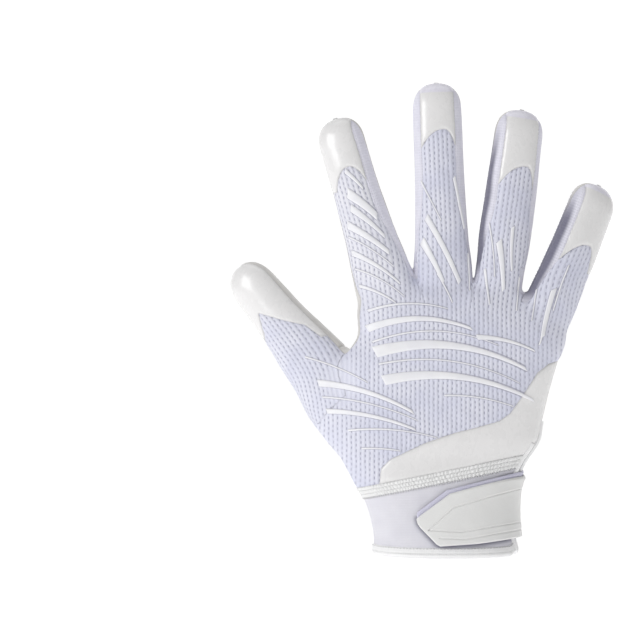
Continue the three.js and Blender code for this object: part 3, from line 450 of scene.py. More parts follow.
# Where each panel lies: signed distances, positive inside
def regions(p):
    x, y, z = p.T
    rows, fields = [], []
    for name in FINGERS:
        digit = digits[name]
        t, a, b = digit.local(p)
        wide, deep = digit.half(t)
        share = t / digit.length
        from_tip = digit.length - t
        closing = smooth(-from_tip, -1.9 * digit.tip, -0.1 * digit.tip)
        left_in, right_in = INNER_SIDES[name]
        over = np.clip((a / wide + 1) / 2, 0, 1)
        side = [lerp(SEAMS["front"], TIP_SEAM, closing) if inner else
                lerp(SEAMS["outer"], SEAMS["outer"] / 2, closing) for inner in (left_in, right_in)]
        front = lerp(side[0], side[1], over) * deep
        back_seam = lerp(SEAMS["back_at_web"], SEAMS["back"], smooth(share, 0.2, 0.55)) * deep
        beside = smooth(t, 0.4 * digit.length, digit.length - 1.9 * digit.tip)
        wall = lerp(b - back_seam, np.abs(a) - CAP_SIDE * wide, beside)
        if not left_in:
            wall = np.minimum(wall, a - 0.2 * wide)
        if not right_in:
            wall = np.minimum(wall, -0.2 * wide - a)
        wall = np.minimum(wall, from_tip - WALL_FROM * digit.tip)
        peak = digit.length - digit.row["cap"]
        at_peak = digit.half(peak)[0]
        near = a / at_peak - digit.row["cap_peak"]
        run = np.where(near < 0, 0.74 + digit.row["cap_peak"], 0.74 - digit.row["cap_peak"])
        arch = peak - 0.42 * digit.row["cap"] * np.minimum(1, np.abs(near) / run) ** 2.2
        rows.append(np.stack([t, a, b, wide, deep, share, front, wall, t - arch]))
        fields.append(digit.field(p))
    fields = np.stack(fields)
    owner = fields.argmin(0)
    of_owner = np.stack(rows)[owner, :, np.arange(len(p))]
    t, a, b, wide, deep, share, front, wall, cap = of_owner.T
    own = fields.min(0)
    # Seam between palm and back, below the fingers
    run = np.clip((x - HAND_SEAM["thumb_x"]) / HAND_SEAM["thumb_run"], 0, 1)
    thumb_side = lerp(HAND_SEAM["thumb_y"], SIDE_SEAM_Y, run)
    hand_seam = lerp(thumb_side, WEB["front_y"], smooth(x, -40, -28))
    run = np.clip((z - HAND_SEAM["little_z"]) / HAND_SEAM["little_run"], 0, 1)
    little_side = lerp(SIDE_SEAM_Y, HAND_SEAM["little_y"], run)
    hand_seam = lerp(hand_seam, little_side, smooth(x, 40, 50))
    on_finger = smooth(share, 0.1, 0.3)
    palm = lerp(y - hand_seam, b - front, on_finger)
    # Seam along the thumb
    t_thumb, a_thumb, b_thumb = thumb.local(p)
    wide_thumb, deep_thumb = thumb.half(t_thumb)
    f_thumb = thumb.field(p)
    rest = np.minimum(own, hand_field(p))
    thumb_share = t_thumb / thumb.length
    run = np.clip((thumb_share - THUMB_START) / 0.5, 0, 1)
    outer = lerp(THUMB_SEAM["outer"], THUMB_SEAM["outer_end"], run)
    over = np.clip((a_thumb / wide_thumb + 1) / 2, 0, 1)
    seam_thumb = b_thumb - lerp(outer, THUMB_SEAM["inner"], over) * deep_thumb
    on_thumb = smooth(rest - f_thumb, -2, 3) * smooth(t_thumb, 40, 58)
    palm = lerp(palm, seam_thumb, on_thumb)
    owner = np.where((f_thumb < rest) & (t_thumb > 30), 4, owner)
    # Webs between the fingers
    starts = [digits[name].place(0.2 * digits[name].length, 0, 0) for name in FINGERS]
    web = np.full(len(p), OUTSIDE)
    for one, two in zip(starts, starts[1:]):
        middle, low = (one[0] + two[0]) / 2, min(one[2], two[2]) - WEB["depth"]
        high = max(one[2], two[2]) + 4
        here = np.minimum.reduce([WEB["half_width"] - np.abs(x - middle), z - low, high - z])
        web = np.maximum(web, np.minimum(here, y - WEB["back_y"]))
    wall = np.where((t > WALL_FROM * t / np.maximum(share, 1e-6)) & (owner < 4), wall, OUTSIDE)
    wall = np.maximum(wall, web)
    # Leather's edge on the thumb's side, wrist leather, thumb cap, slit and elastic
    edge = [(CUFF["width"] * ex, CUFF["rise"] * ez) for ex, ez in PALM_EDGE]
    left_of_palm = polygon_distance(x, z, [(-130, -20), *edge, (-130, edge[-1][1])])
    wrist = [(PALM["width"] * ex, CUFF["rise"] + PALM["rise"] * ez) for ex, ez in WRIST_EDGE]
    wrist = polygon_distance(x, z, [*wrist, (110, wrist[-1][1]), (110, -20), (wrist[0][0], -20)])
    cap_line = np.interp(a_thumb / thumb.half(0.75 * thumb.length)[0], *np.array(THUMB_CAP).T)
    thumb_cap = np.where(owner == 4, (thumb_share - cap_line) * thumb.length * 0.8, OUTSIDE)
    mid_y, half = SLIT["edge_y"] - SLIT["width"] / 2, SLIT["width"] / 2 + 0.6
    top = np.where(y < mid_y, SLIT["top"], SLIT["palm_top"] - 6)
    slit = np.where(x > 20, np.minimum(half + 0.3 - np.abs(y - mid_y), top - z), OUTSIDE)
    band = z - ELASTIC["rise"] - ELASTIC["slope"] * x
    return {
        "palm": palm, "wall": wall, "cap": np.where(owner < 4, cap, OUTSIDE), "thumb_cap": thumb_cap,
        "left_of_palm": left_of_palm, "wrist": np.where(y < 12, wrist, OUTSIDE), "band": band,
        "slit": slit, "owner": owner, "t": t, "a": a, "b": b, "share": share, "wide": wide,
        "deep": deep, "t_thumb": t_thumb, "a_thumb": a_thumb, "wide_thumb": wide_thumb,
    }


def weave_coordinates(p, r):
    """Knit columns and rows in millimetres; they turn smoothly from the hand's axis to each finger's."""
    x, y, z = p.T
    u, v = x.copy(), z.copy()
    for n, name in enumerate(FINGERS + ["thumb"]):
        digit = digits[name]
        t, a, b = digit.local(p)
        wide, deep = digit.half(t)
        lean = math.radians(digit.row["lean"])
        along = np.linspace(-20, digit.length + 10, 300)
        start, end = (0.12, 0.5) if n < 4 else (0.2, 0.6)
        turned = smooth(along / digit.length, start, end)
        step = along[1] - along[0]
        drift = np.cumsum((1 - turned) * math.sin(lean)) * step
        climb = np.cumsum(lerp(math.cos(lean), 1, turned)) * step
        drift -= np.interp(0, along, drift)
        climb -= np.interp(0, along, climb)
        w = smooth(t / digit.length, start, end)
        around = np.arctan2(a / wide, -b / deep) * (wide + deep) / 2
        across = lerp(a, around, smooth(np.abs(a / wide), 0.3, 0.9))
        fu = digit.root[0] + np.interp(t, along, drift) + across * lerp(math.cos(lean), 1, w)
        fv = digit.root[2] + np.interp(t, along, climb) - a * math.sin(lean) * (1 - w)
        mine = r["owner"] == n
        on = smooth(t / digit.length, start - 0.1, start + 0.12)
        u = np.where(mine, lerp(x, fu, on), u)
        v = np.where(mine, lerp(z, fv, on), v)
    at_web = np.hypot(x - thumb.root[0] - CALM["x"], CALM["flat"] * (z - thumb.root[2] - CALM["z"]))
    calm = np.where(y < 5, 1 - smooth(at_web, CALM["near"], CALM["far"]), 0)
    return u, v, calm


# Materials
def linear(red, green, blue):
    out = []
    for c in (red, green, blue):
        c /= 255
        out.append(c / 12.92 if c <= 0.04045 else ((c + 0.055) / 1.055) ** 2.4)
    return (*out, 1.0)


SHADE = linear(120, 119, 138)


class Look:
    """A material's node tree, with short calls for the nodes that it needs."""

    def __init__(self, name, roughness, **constants):
        self.material = bpy.data.materials.new(name)
        self.material.use_nodes = True
        self.tree = self.material.node_tree
        self.shader = self.tree.nodes["Principled BSDF"]
        self.shader.inputs["Roughness"].default_value = roughness
        for key, value in constants.items():
            self.shader.inputs[key.replace("_", " ")].default_value = value

    def node(self, kind, ins=None, **settings):
        node = self.tree.nodes.new("ShaderNode" + kind)
        for key, value in settings.items():
            setattr(node, key, value)
        for key, value in (ins or {}).items():
            socket = node.inputs[key]
            if isinstance(value, bpy.types.NodeSocket):
                self.tree.links.new(value, socket)
            else:
                socket.default_value = value
        return node

    def math(self, operation, *values):
        ins = dict(enumerate(values))
        return self.node("Math", ins, operation=operation).outputs[0]

    def vector(self, operation, *values):
        ins = dict(enumerate(values))
        return self.node("VectorMath", ins, operation=operation).outputs[0]

    def weave_place(self):
        return self.node("UVMap", uv_map="weave").outputs[0]

    def object_place(self):
        return self.node("TexCoord").outputs["Object"]

    def scaled(self, vector, scale):
        return self.vector("MULTIPLY", vector, scale)

    def noise(self, vector, scale, detail=3.0, rough=0.5):
        ins = {"Vector": vector, "Scale": scale, "Detail": detail, "Roughness": rough}
        return self.node("TexNoise", ins).outputs[0]

    def ramp(self, value, start, end, low=0.0, high=1.0):
        ins = {"Value": value, "From Min": start, "From Max": end, "To Min": low, "To Max": high}
        return self.node("MapRange", ins, interpolation_type="SMOOTHSTEP").outputs[0]

    def mix(self, share, one, two):
        node = self.node("Mix", data_type="RGBA")
        for socket, value in ((node.inputs[0], share), (node.inputs[6], one), (node.inputs[7], two)):
            if isinstance(value, bpy.types.NodeSocket):
                self.tree.links.new(value, socket)
            else:
                socket.default_value = value
        return node.outputs[2]

    def attribute(self, name):
        return self.node("Attribute", attribute_name=name).outputs["Fac"]

    def colour(self, socket):
        self.tree.links.new(socket, self.shader.inputs["Base Color"])

    def roughness(self, socket):
        self.tree.links.new(socket, self.shader.inputs["Roughness"])

    def bump(self, height, distance, strength=1.0):
        ins = {"Height": height, "Distance": distance, "Strength": strength}
        node = self.node("Bump", ins)
        if self.shader.inputs["Normal"].is_linked:
            before = self.shader.inputs["Normal"].links[0].from_socket
            self.tree.links.new(before, node.inputs["Normal"])
        self.tree.links.new(node.outputs[0], self.shader.inputs["Normal"])


def shaded(look, dark):
    """Darken the look where the attribute "shade" is set."""
    before = look.shader.inputs["Base Color"].links[0].from_socket
    look.colour(look.mix(look.attribute("shade"), before, dark))
    return look.material


def holes(look, place, column, row, half_wide, half_high, soft=0.35):
    """Mask of staggered holes in a knit, 1 in a hole."""
    masks = []
    for shift in (0.0, 0.5):
        cell = look.scaled(place, (1 / column, 1 / row, 1))
        cell = look.vector("ADD", cell, (shift, shift, 0))
        cell = look.vector("FRACTION", cell)
        cell = look.vector("SUBTRACT", cell, (0.5, 0.5, 0))
        cell = look.scaled(cell, (column / half_wide, row / half_high, 0))
        length = look.node("VectorMath", {0: cell}, operation="LENGTH").outputs["Value"]
        masks.append(look.ramp(length, 1 - soft, 1 + soft, 1.0, 0.0))
    return look.math("MAXIMUM", *masks)


def knit_look():
    look = Look("back_mesh_knit", 0.6, Sheen_Weight=0.2, Sheen_Roughness=0.5)
    place = look.weave_place()
    drift = look.node("TexNoise", {"Vector": place, "Scale": 0.22, "Detail": 1.0}).outputs["Color"]
    moved = look.vector("ADD", look.scaled(drift, (0.7, 0.9, 0)), place)
    column = look.node("SeparateXYZ", {0: moved}).outputs[0]
    turn = look.math("MULTIPLY", column, 2 * math.pi / KNIT["column"])
    ridge = look.math("MULTIPLY", look.math("COSINE", turn), -1.0)
    ridge = look.ramp(ridge, -1.0, 1.0)
    mask = holes(look, moved, 2 * KNIT["column"], KNIT["row"], half_wide=0.22, half_high=0.7)
    mask = look.math("MULTIPLY", mask, look.ramp(look.attribute("calm"), 0.2, 0.9, 1.0, 0.12))
    pale = look.attribute("pale")
    yarn = look.noise(look.scaled(place, (3.4, 1.5, 1)), 1.0, 3.0)
    wide = look.noise(place, 0.05, 2.0)
    tone = look.mix(look.ramp(wide, 0.3, 0.7), linear(233, 234, 245), linear(219, 221, 238))
    tone = look.mix(pale, tone, linear(247, 246, 247))
    tone = look.mix(look.ramp(ridge, 0.0, 1.0, 0.34, 0.0), tone, linear(205, 206, 224))
    tone = look.mix(look.ramp(yarn, 0.35, 0.75, 0.0, 0.3), tone, linear(207, 207, 226))
    dark = look.math("MULTIPLY", mask, look.ramp(wide, 0.35, 0.65, 0.74, 0.32))
    tone = look.mix(dark, tone, linear(150, 151, 178))
    # Dark line round each raised bar: painted shade where the bar's edge stands off the knit
    outline = look.ramp(look.attribute("print"), 0.05, 0.5, 0.8, 0.0)
    outline = look.math("MULTIPLY", outline, look.ramp(look.attribute("print"), -0.5, -0.2))
    look.colour(look.mix(outline, tone, linear(170, 170, 186)))
    look.bump(yarn, 0.00012, 0.5)
    look.bump(ridge, 0.00025, 0.8)
    look.bump(look.math("SUBTRACT", 1.0, mask), 0.0004, 0.8)
    return look.material


def darker(colour, share):
    return (*(share * c for c in colour[:3]), 1.0)


def leather_look(name, base, dark, roughness, coat, grain=0.00009):
    look = Look(name, roughness, Coat_Weight=coat, Coat_Roughness=0.16, Specular_IOR_Level=0.5)
    place = look.object_place()
    tone = look.noise(place, 60.0, 4.0)
    pores = look.node("TexVoronoi", {"Vector": place, "Scale": 900.0, "Randomness": 1.0}).outputs[0]
    fine = look.noise(place, 1500.0, 3.0)
    creases = look.noise(look.scaled(place, (1.0, 1.0, 0.6)), 260.0, 3.0, 0.55)
    colour = look.mix(look.ramp(tone, 0.3, 0.7), base, dark)
    # Darker where the attribute "edge" is low, near the panel's seams: painted shade where it meets its
    # neighbour
    edge = look.ramp(look.attribute("edge"), 0.0, 0.8, 0.5, 0.0)
    look.colour(look.mix(edge, colour, darker(dark, 0.72)))
    look.roughness(look.ramp(creases, 0.25, 0.75, roughness - 0.06, roughness + 0.08))
    look.bump(look.math("ADD", look.math("MULTIPLY", pores, 0.6), fine), grain, 0.7)
    look.bump(creases, 0.00006, 0.5)
    return look


def fabric_look(name, base, dark, pitch, roughness, depth):
    look = Look(name, roughness, Sheen_Weight=0.2, Sheen_Roughness=0.5)
    place = look.weave_place()
    waves = []
    for way, size in zip("XY", pitch):
        ins = {"Vector": place, "Scale": 1 / size / math.pi * 0.5, "Distortion": 0.4, "Detail": 1.0}
        waves.append(look.node("TexWave", ins, wave_type="BANDS", bands_direction=way).outputs[1])
    weave = look.math("MULTIPLY", *waves)
    blotch = look.noise(place, 0.12, 3.0)
    colour = look.mix(look.ramp(blotch, 0.3, 0.7), base, dark)
    colour = look.mix(look.math("MULTIPLY", weave, 0.35), colour, darker(dark, 0.85))
    # Darker where the attribute "edge" is low, near seams and between the elastic's puffs: painted shade
    edge = look.ramp(look.attribute("edge"), 0.0, 1.2, 0.25, 0.0)
    look.colour(look.mix(edge, colour, darker(dark, 0.75)))
    look.bump(weave, depth, 0.8)
    return shaded(look, SHADE)


def palm_look():
    base, dark = linear(221, 219, 216), linear(213, 211, 209)
    look = leather_look("palm_leather", base, dark, 0.4, 0.2, 0.00012)
    before = look.shader.inputs["Base Color"].links[0].from_socket
    print_mask = look.ramp(look.attribute("print"), -0.12, 0.12)
    look.colour(look.mix(print_mask, before, linear(176, 177, 175)))
    return shaded(look, SHADE)


def tip_look():
    base, dark = linear(236, 235, 235), linear(235, 234, 234)
    return shaded(leather_look("tip_leather", base, dark, 0.27, 0.6, 0.00003), linear(234, 232, 243))


def rubber_look(name, base, dark, roughness):
    look = Look(name, roughness, Specular_IOR_Level=0.5)
    place = look.object_place()
    tone = look.noise(place, 90.0, 3.0)
    fine = look.noise(place, 2200.0, 2.0)
    look.colour(look.mix(look.ramp(tone, 0.3, 0.7), base, dark))
    look.roughness(look.ramp(tone, 0.2, 0.8, roughness - 0.05, roughness + 0.07))
    look.bump(fine, 0.00005, 0.5)
    return look.material


def tab_look():
    look = Look("pull_tab_webbing", 0.8, Sheen_Weight=0.3)
    place = look.weave_place()
    waves = []
    for way, scale in (("Y", 0.5), ("DIAGONAL", 0.45)):
        ins = {"Vector": place, "Scale": scale, "Distortion": 0.0}
        waves.append(look.node("TexWave", ins, bands_direction=way).outputs[1])
    weave = look.math("MULTIPLY", *waves)
    look.colour(look.mix(weave, linear(186, 184, 212), linear(163, 161, 196)))
    look.bump(weave, 0.0002, 0.8)
    return look.material


looks = {
    "knit": knit_look(),
    "palm": palm_look(),
    "tip": tip_look(),
    "tab": tab_look(),
    "thread": leather_look("thread", linear(232, 232, 232), linear(224, 224, 224), 0.45, 0.1).material,
    "rib": rubber_look("raised_print", linear(244, 244, 247), linear(238, 238, 243), 0.36),
    "strap": rubber_look("moulded_strap", linear(233, 233, 232), linear(229, 229, 228), 0.36),
}
# Fabrics: name, two colours, the weave's pitch in millimetres, roughness, depth of the weave in metres
FABRICS = {
    "side": ("side_knit", (236, 235, 246), (230, 229, 242), (0.5, 0.7), 0.75, 0.00014),
    "cuff": ("cuff_tricot", (228, 227, 234), (223, 222, 230), (0.3, 0.4), 0.7, 0.00006),
    "elastic": ("elastic_band", (244, 244, 244), (239, 239, 239), (0.4, 0.4), 0.45, 0.00005),
    "binding": ("binding_tape", (250, 250, 250), (246, 246, 247), (0.45, 0.45), 0.5, 0.00014),
    "backing": ("strap_backing", (224, 223, 240), (217, 216, 236), (0.45, 0.45), 0.85, 0.00014),
    "lining": ("lining", (150, 150, 164), (140, 140, 156), (0.5, 0.5), 0.85, 0.00014),
}
for key, (name, base, dark, *weave) in FABRICS.items():
    looks[key] = fabric_look(name, linear(*base), linear(*dark), *weave)


# Pieces
def piece(name, points, faces, look, slot=None, replaces=(), layers=None, uv=None):
    mesh = bpy.data.meshes.new(name)
    faces = np.asarray(faces)
    corners = faces.shape[1]
    mesh.vertices.add(len(points))
    mesh.vertices.foreach_set("co", (np.asarray(points) * MM).astype(np.float32).ravel())
    mesh.loops.add(faces.size)
    mesh.polygons.add(len(faces))
    mesh.polygons.foreach_set("loop_start", np.arange(0, faces.size, corners, dtype=np.int32))
    mesh.polygons.foreach_set("vertices", faces.astype(np.int32).ravel())
    mesh.polygons.foreach_set("use_smooth", np.ones(len(faces), bool))
    mesh.update(calc_edges=True)
    mesh.validate()
    for key, values in (layers or {}).items():
        mesh.attributes.new(key, "FLOAT", "POINT").data.foreach_set("value", values.astype(np.float32))
    if uv is not None:
        index = np.empty(len(mesh.loops), np.int32)
        mesh.loops.foreach_get("vertex_index", index)
        layer = mesh.uv_layers.new(name="weave")
        layer.data.foreach_set("uv", np.stack(uv, 1)[index].astype(np.float32).ravel())
    mesh.materials.append(look)
    obj = bpy.data.objects.new(name, mesh)
    bpy.context.scene.collection.objects.link(obj)
    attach(obj, "root")
    if replaces:
        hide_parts(*replaces)
    return obj


points, faces = surface_net((-120, -34, -5), (96, 46, 246), STEP)
normals = unit(gradient(points))
r = regions(points)
u, v, calm = weave_coordinates(points, r)
master = np.column_stack([points, normals, u, v])
above_hem = points[:, 2] - 3.4
behind = np.maximum(-r["palm"], r["left_of_palm"])
elastic_half = ELASTIC["height"] / 2
no_slit = -r["slit"]
above_band = r["band"] - elastic_half
caps = np.maximum(r["cap"], r["thumb_cap"])
open_back = np.minimum.reduce([behind, -r["wall"], no_slit])
wrist_room = np.minimum(r["wrist"], above_band)
thumb_room = np.minimum(r["t_thumb"] - THUMB_START * thumb.length, 1.1 * r["wide_thumb"] - r["a_thumb"])
thumb_room = np.where(r["owner"] == 4, thumb_room, OUTSIDE)
PANELS = {
    "palm": np.minimum.reduce([r["palm"], -r["left_of_palm"], above_hem, no_slit, -thumb_room]),
    "thumb_front": np.minimum.reduce([r["palm"], -r["left_of_palm"], thumb_room]),
    "knit": np.minimum.reduce([open_back, above_band, -caps, -wrist_room]),
    "caps": np.minimum(open_back, r["cap"]),
    "thumb_cap": np.minimum(open_back, r["thumb_cap"]),
    "wrist": np.minimum(open_back, wrist_room),
    "walls": np.minimum.reduce([r["wall"], -r["palm"]]),
    "cuff": np.minimum.reduce([open_back, -elastic_half - r["band"] + 0.4, above_hem]),
}


def panel(name, key, look, slot, replaces, dip=0.35, puff=0.0, lift=0.0, extra=None, layers=None):
    columns = [master] + [np.array(value)[:, None] for value in (layers or {}).values()]
    data, tris = clip(np.column_stack(columns), faces, PANELS[key] + OVERLAP)
    p, n, edge = data[:, :3], data[:, 3:6], data[:, -1] - OVERLAP
    away = lift - dip * np.exp(-((np.maximum(edge, 0) / 0.9) ** 2)) + puff * smooth(edge, 0.5, 3.5)
    away = away - DIVE * np.clip(-edge / OVERLAP, 0, 1) ** 1.5
    if extra is not None:
        away = away + extra(p)
    named = {key: data[:, 8 + i] for i, key in enumerate(layers or {})}
    return piece(name, p + n * away[:, None], tris, look, slot, replaces,
                 {"edge": edge, **named}, (data[:, 6], data[:, 7]))


def knit_waves(p):
    return 0.22 * ripple(p, 26, 3) + 0.1 * ripple(p, 9, 4)


def leather_waves(p):
    return 0.12 * ripple(p, 22, 5) + 0.02 * ripple(p, 7, 6)


def bar_line(start, end, bend, spacing=0.7):
    """A bar's bent middle line on the back: its points, the way across it, shares and length."""
    start, end = (np.array([PALM["width"] * x, CUFF["rise"] + PALM["rise"] * z]) for x, z in (start, end))
    run = end - start
    length = np.linalg.norm(run)
    across = np.array([-run[1], run[0]]) / length
    count = max(12, int(length / spacing))
    near_end = min(0.12 / length, 0.02)
    share = np.r_[0, near_end, np.linspace(0, 1, count)[1:-1], 1 - near_end, 1]
    bow = bend * length * 4 * share * (1 - share)
    return start + share[:, None] * run + bow[:, None] * across, across, share, length


def bar_distance(p):
    """Distance to the nearest printed bar's edge, on the back."""
    x, y, z = p.T
    best = np.full(len(p), 9.0)
    for start, end, bend, wide in [row[1:] for row in RIBS] + THIN_BARS:
        line, across, share, length = bar_line(start, end, bend, 3.0)
        aside = (x - line[0][0]) * across[0] + (z - line[0][1]) * across[1]
        along = (x - line[0][0]) * across[1] - (z - line[0][1]) * across[0] + BAR_SLANT * aside
        low, high = line.min(0) - 4, line.max(0) + 4
        near = (x > low[0]) & (x < high[0]) & (z > low[1]) & (z < high[1]) & (y < 4)
        near = np.flatnonzero(near & (along > -0.3) & (along < length + 0.3))
        for a, b, s in zip(line, line[1:], share):
            d = b - a
            u = np.clip(((x[near] - a[0]) * d[0] + (z[near] - a[1]) * d[1]) / (d @ d), 0, 1)
            gap = np.hypot(x[near] - a[0] - u * d[0], z[near] - a[1] - u * d[1])
            best[near] = np.minimum(best[near], gap - lerp(wide[0], wide[1], s) / 2)
    return best


def strap_outline(spread=0.0):
    out = []
    for along, up in STRAP_OUTLINE:
        x = STRAP["from_x"] + along * STRAP["length"] - (spread if along < 0.5 and up > 0.32 else 0)
        out.append((x, STRAP["low"] + up * STRAP["width"] + (spread if up > 0.3 else 0)))
    return out


def print_distance(p, r):
    """Plain slanted bars on the palm's leather, positive inside."""
    x, z = p[:, 0], p[:, 2]
    slant = x * PALM_BARS["across"] + z * PALM_BARS["up"] + PALM_BARS["shift"]
    bars = PALM_BARS["half"] - np.abs(slant % PALM_BARS["pitch"] - PALM_BARS["pitch"] / 2)
    zone = polygon_distance(x, z, PALM_BARS_ZONE)
    rise = (r["t"] + FINGER_BARS["shift"]) % FINGER_BARS["pitch"]
    finger_bars = FINGER_BARS["half"] - np.abs(rise - FINGER_BARS["pitch"] / 2)
    on_finger = FINGER_BARS["width"] * r["wide"] - np.abs(r["a"])
    on_finger = np.minimum(on_finger, r["t"] - FINGER_BARS["from"])
    on_finger = np.where(r["owner"] < 4, on_finger, -9)
    return np.maximum(np.minimum(bars, zone), np.minimum(finger_bars, on_finger))


palm_print = print_distance(points, r)
pale = 0.5 * smooth(points[:, 2], 100, 150) * (1 - smooth(points[:, 0], -38, -14))
turned_away = np.isin(r["owner"], (2, 3)) & (r["a"] < 0)
height = r["b"] / r["deep"] + 0.06 * ripple(points, 26, 8)
from_seam = np.minimum(smooth(height, -0.64, -0.34), 1 - smooth(height, 0.38, 0.62))
along_finger = np.minimum(smooth(r["share"], 0.14, 0.26), 1 - smooth(r["share"], 0.7, 0.97))
shade = np.where(turned_away, from_seam * along_finger, 0.0)
rim = np.where(r["owner"] == 4, 0.0, smooth(r["share"], 0.955, 0.962) * (r["owner"] > 0))
leather = {"extra": leather_waves, "dip": 0.3, "lift": 0.25}
palm_skin = panel("palm_leather_skin", "palm", looks["palm"], "palm_leather", ["palm_leather"], puff=0.15,
                  extra=leather_waves, layers={"print": palm_print, "shade": shade})
thumb_skin = panel("thumb_leather_skin", "thumb_front", looks["palm"], "palm_leather", ["thumb_leather"],
                   puff=0.15, extra=leather_waves, layers={"print": np.full(len(points), -5.0)})
knit_skin = panel("back_knit_skin", "knit", looks["knit"], "back_knit", ["back_knit"], extra=knit_waves,
                  layers={"print": bar_distance(points), "calm": calm, "pale": pale})
caps_skin = panel("tip_caps_skin", "caps", looks["tip"], "tip_leather",
                  ["tip_cap_index", "tip_cap_middle", "tip_cap_ring", "tip_cap_little"],
                  layers={"shade": rim}, **leather)
thumb_cap_skin = panel("thumb_cap_skin", "thumb_cap", looks["tip"], "tip_leather", ["thumb_cap"], **leather)
wrist_skin = panel("wrist_leather_skin", "wrist", looks["tip"], "tip_leather", ["wrist_leather"], **leather)
walls_skin = panel("side_walls_skin", "walls", looks["side"], "side_knit",
                   ["side_wall_index_middle", "side_wall_middle_ring", "side_wall_ring_little"], puff=-0.2,
                   layers={"shade": shade})
beside_strap = np.maximum(0, -polygon_distance(points[:, 0], points[:, 2], strap_outline()))
strap_shade = np.where(points[:, 1] < 0, 0.85 * np.exp(-((beside_strap / 1.4) ** 2)), 0)
cuff_skin = panel("cuff_skin", "cuff", looks["cuff"], "cuff_fabric", ["cuff_fabric"], extra=knit_waves,
                  layers={"shade": strap_shade * (points[:, 2] < STRAP["low"] + 0.36 * STRAP["width"])})

# Lining: the inner surface as far up as it shows, open at the wrist
lined = np.minimum.reduce([points[:, 2] - 3.2, 2.0 * CUFF["rise"] - points[:, 2], -r["slit"] - 0.3])
lining_data, lining_faces = clip(master, faces, lined)
lining_points = lining_data[:, :3] - lining_data[:, 3:6] * LINING_DEPTH
lining_skin = piece("lining_skin", lining_points, lining_faces[:, ::-1], looks["lining"], "cuff_fabric",
                    layers={"edge": lining_data[:, -1]}, uv=(lining_data[:, 6], lining_data[:, 7]))


# Bars and stitches that lie on the surface
def onto_back(x, z):
    """Points of the back at x and z, found by going towards it from behind."""
    p = np.column_stack([x, np.full(len(x), -45.0), z])
    for _ in range(60):
        p[:, 1] += 0.8 * glove_field(p)
    return p


def grid_faces(rows, columns, closed=False):
    i, j = np.meshgrid(np.arange(rows - 1), np.arange(columns if closed else columns - 1), indexing="ij")
    k = (j + 1) % columns
    return np.stack([i * columns + j, i * columns + k, (i + 1) * columns + k, (i + 1) * columns + j],
                    -1).reshape(-1, 4)


def make_rib(start, end, bend, wide, height):
    middle, across, share, length = bar_line(start, end, bend)
    half = lerp(wide[0], wide[1], share) / 2
    ends = np.minimum(share * length, (1 - share) * length)
    over = np.array([-1, -0.96, -0.86, -0.6, -0.2, 0.2, 0.6, 0.86, 0.96, 1])
    slant = across + np.array([-across[1], across[0]]) * BAR_SLANT
    flat = middle[:, None, :] + (over[None, :] * half[:, None])[..., None] * slant
    flat = flat.reshape(-1, 2)
    base = onto_back(flat[:, 0], flat[:, 1])
    n = unit(gradient(base))
    profile = (1 - np.abs(over) ** 5.0) ** 0.5
    closed = np.sqrt(np.clip(1 - (1 - np.clip(ends / 0.5, 0, 1)) ** 2, 0, 1))
    up = (-0.3 + (height + 0.3) * profile[None, :] * closed[:, None]).reshape(-1)
    up = up + knit_waves(base)
    return base + n * up[:, None], grid_faces(len(share), len(over))


def joined(parts):
    """Several meshes as one: points and faces."""
    out, faces, start = [], [], 0
    for part, quads in parts:
        out.append(part)
        faces.append(quads + start)
        start += len(part)
    return np.concatenate(out), np.concatenate(faces)


def stitch_row(path, pitch, long, radius, lift=0.0, turned=False):
    """Small stitches along a path on the surface, or across it."""
    path = np.asarray(path, float)
    run = np.r_[0, np.cumsum(np.linalg.norm(np.diff(path, axis=0), axis=1))]
    centres = np.arange(pitch / 2, run[-1] - pitch / 3, pitch)
    at, ahead = (np.stack([np.interp(c, run, path[:, k]) for k in range(3)], 1)
                 for c in (centres, centres + 0.3))
    n = unit(gradient(at))
    way = ahead - at
    way = unit(way - n * (way * n).sum(1)[:, None])
    side = np.cross(n, way)
    if turned:
        way, side = side, -way
    rows = np.array([-1, -0.8, 0, 0.8, 1])
    thick = np.array([0.15, 0.8, 1, 0.8, 0.15])
    turns = np.linspace(0, 2 * math.pi, 7)[:-1]
    quads = grid_faces(len(rows), len(turns), True)
    size = len(rows) * len(turns)
    c, d = np.cos(turns)[None, None, :, None], np.sin(turns)[None, None, :, None]
    rows, thick = rows[None, :, None, None], thick[None, :, None, None]
    at, way, side, n = (v[:, None, None, :] for v in (at, way, side, n))
    out = at + way * rows * long / 2 + side * c * radius * thick
    out = out + n * (d * radius * thick + lift - radius * rows**2)
    quads = (quads[None] + size * np.arange(len(centres))[:, None, None]).reshape(-1, 4)
    return out.reshape(-1, 3), quads


def finger_stitches(digit, share_from, inset=0.07, height=0.42):
    """Path up one side of a digit's palm face, round its tip and down the other side."""
    start = digit.length - digit.tip
    up = np.linspace(share_from * digit.length, start, 40)
    turn = np.linspace(0, math.pi / 2, 24)[1:]
    wide, deep = digit.half(up)
    a, b = wide * (1 - inset), deep * height
    w_end, d_end = digit.half(start)
    tip_t = start + (digit.tip - 1.2) * np.sin(turn) ** (2 / TIP_SQUARENESS)
    tip_a = w_end * (1 - inset) * np.cos(turn) ** (2 / TIP_SQUARENESS)
    t = np.r_[up, tip_t, tip_t[-2::-1], up[::-1]]
    a = np.r_[a, tip_a, -tip_a[-2::-1], -a[::-1]]
    b = np.r_[b, np.full(len(tip_t), d_end * height), np.full(len(tip_t) - 1, d_end * height), b[::-1]]
    return to_surface(digit.place(t, a, b), times=5)


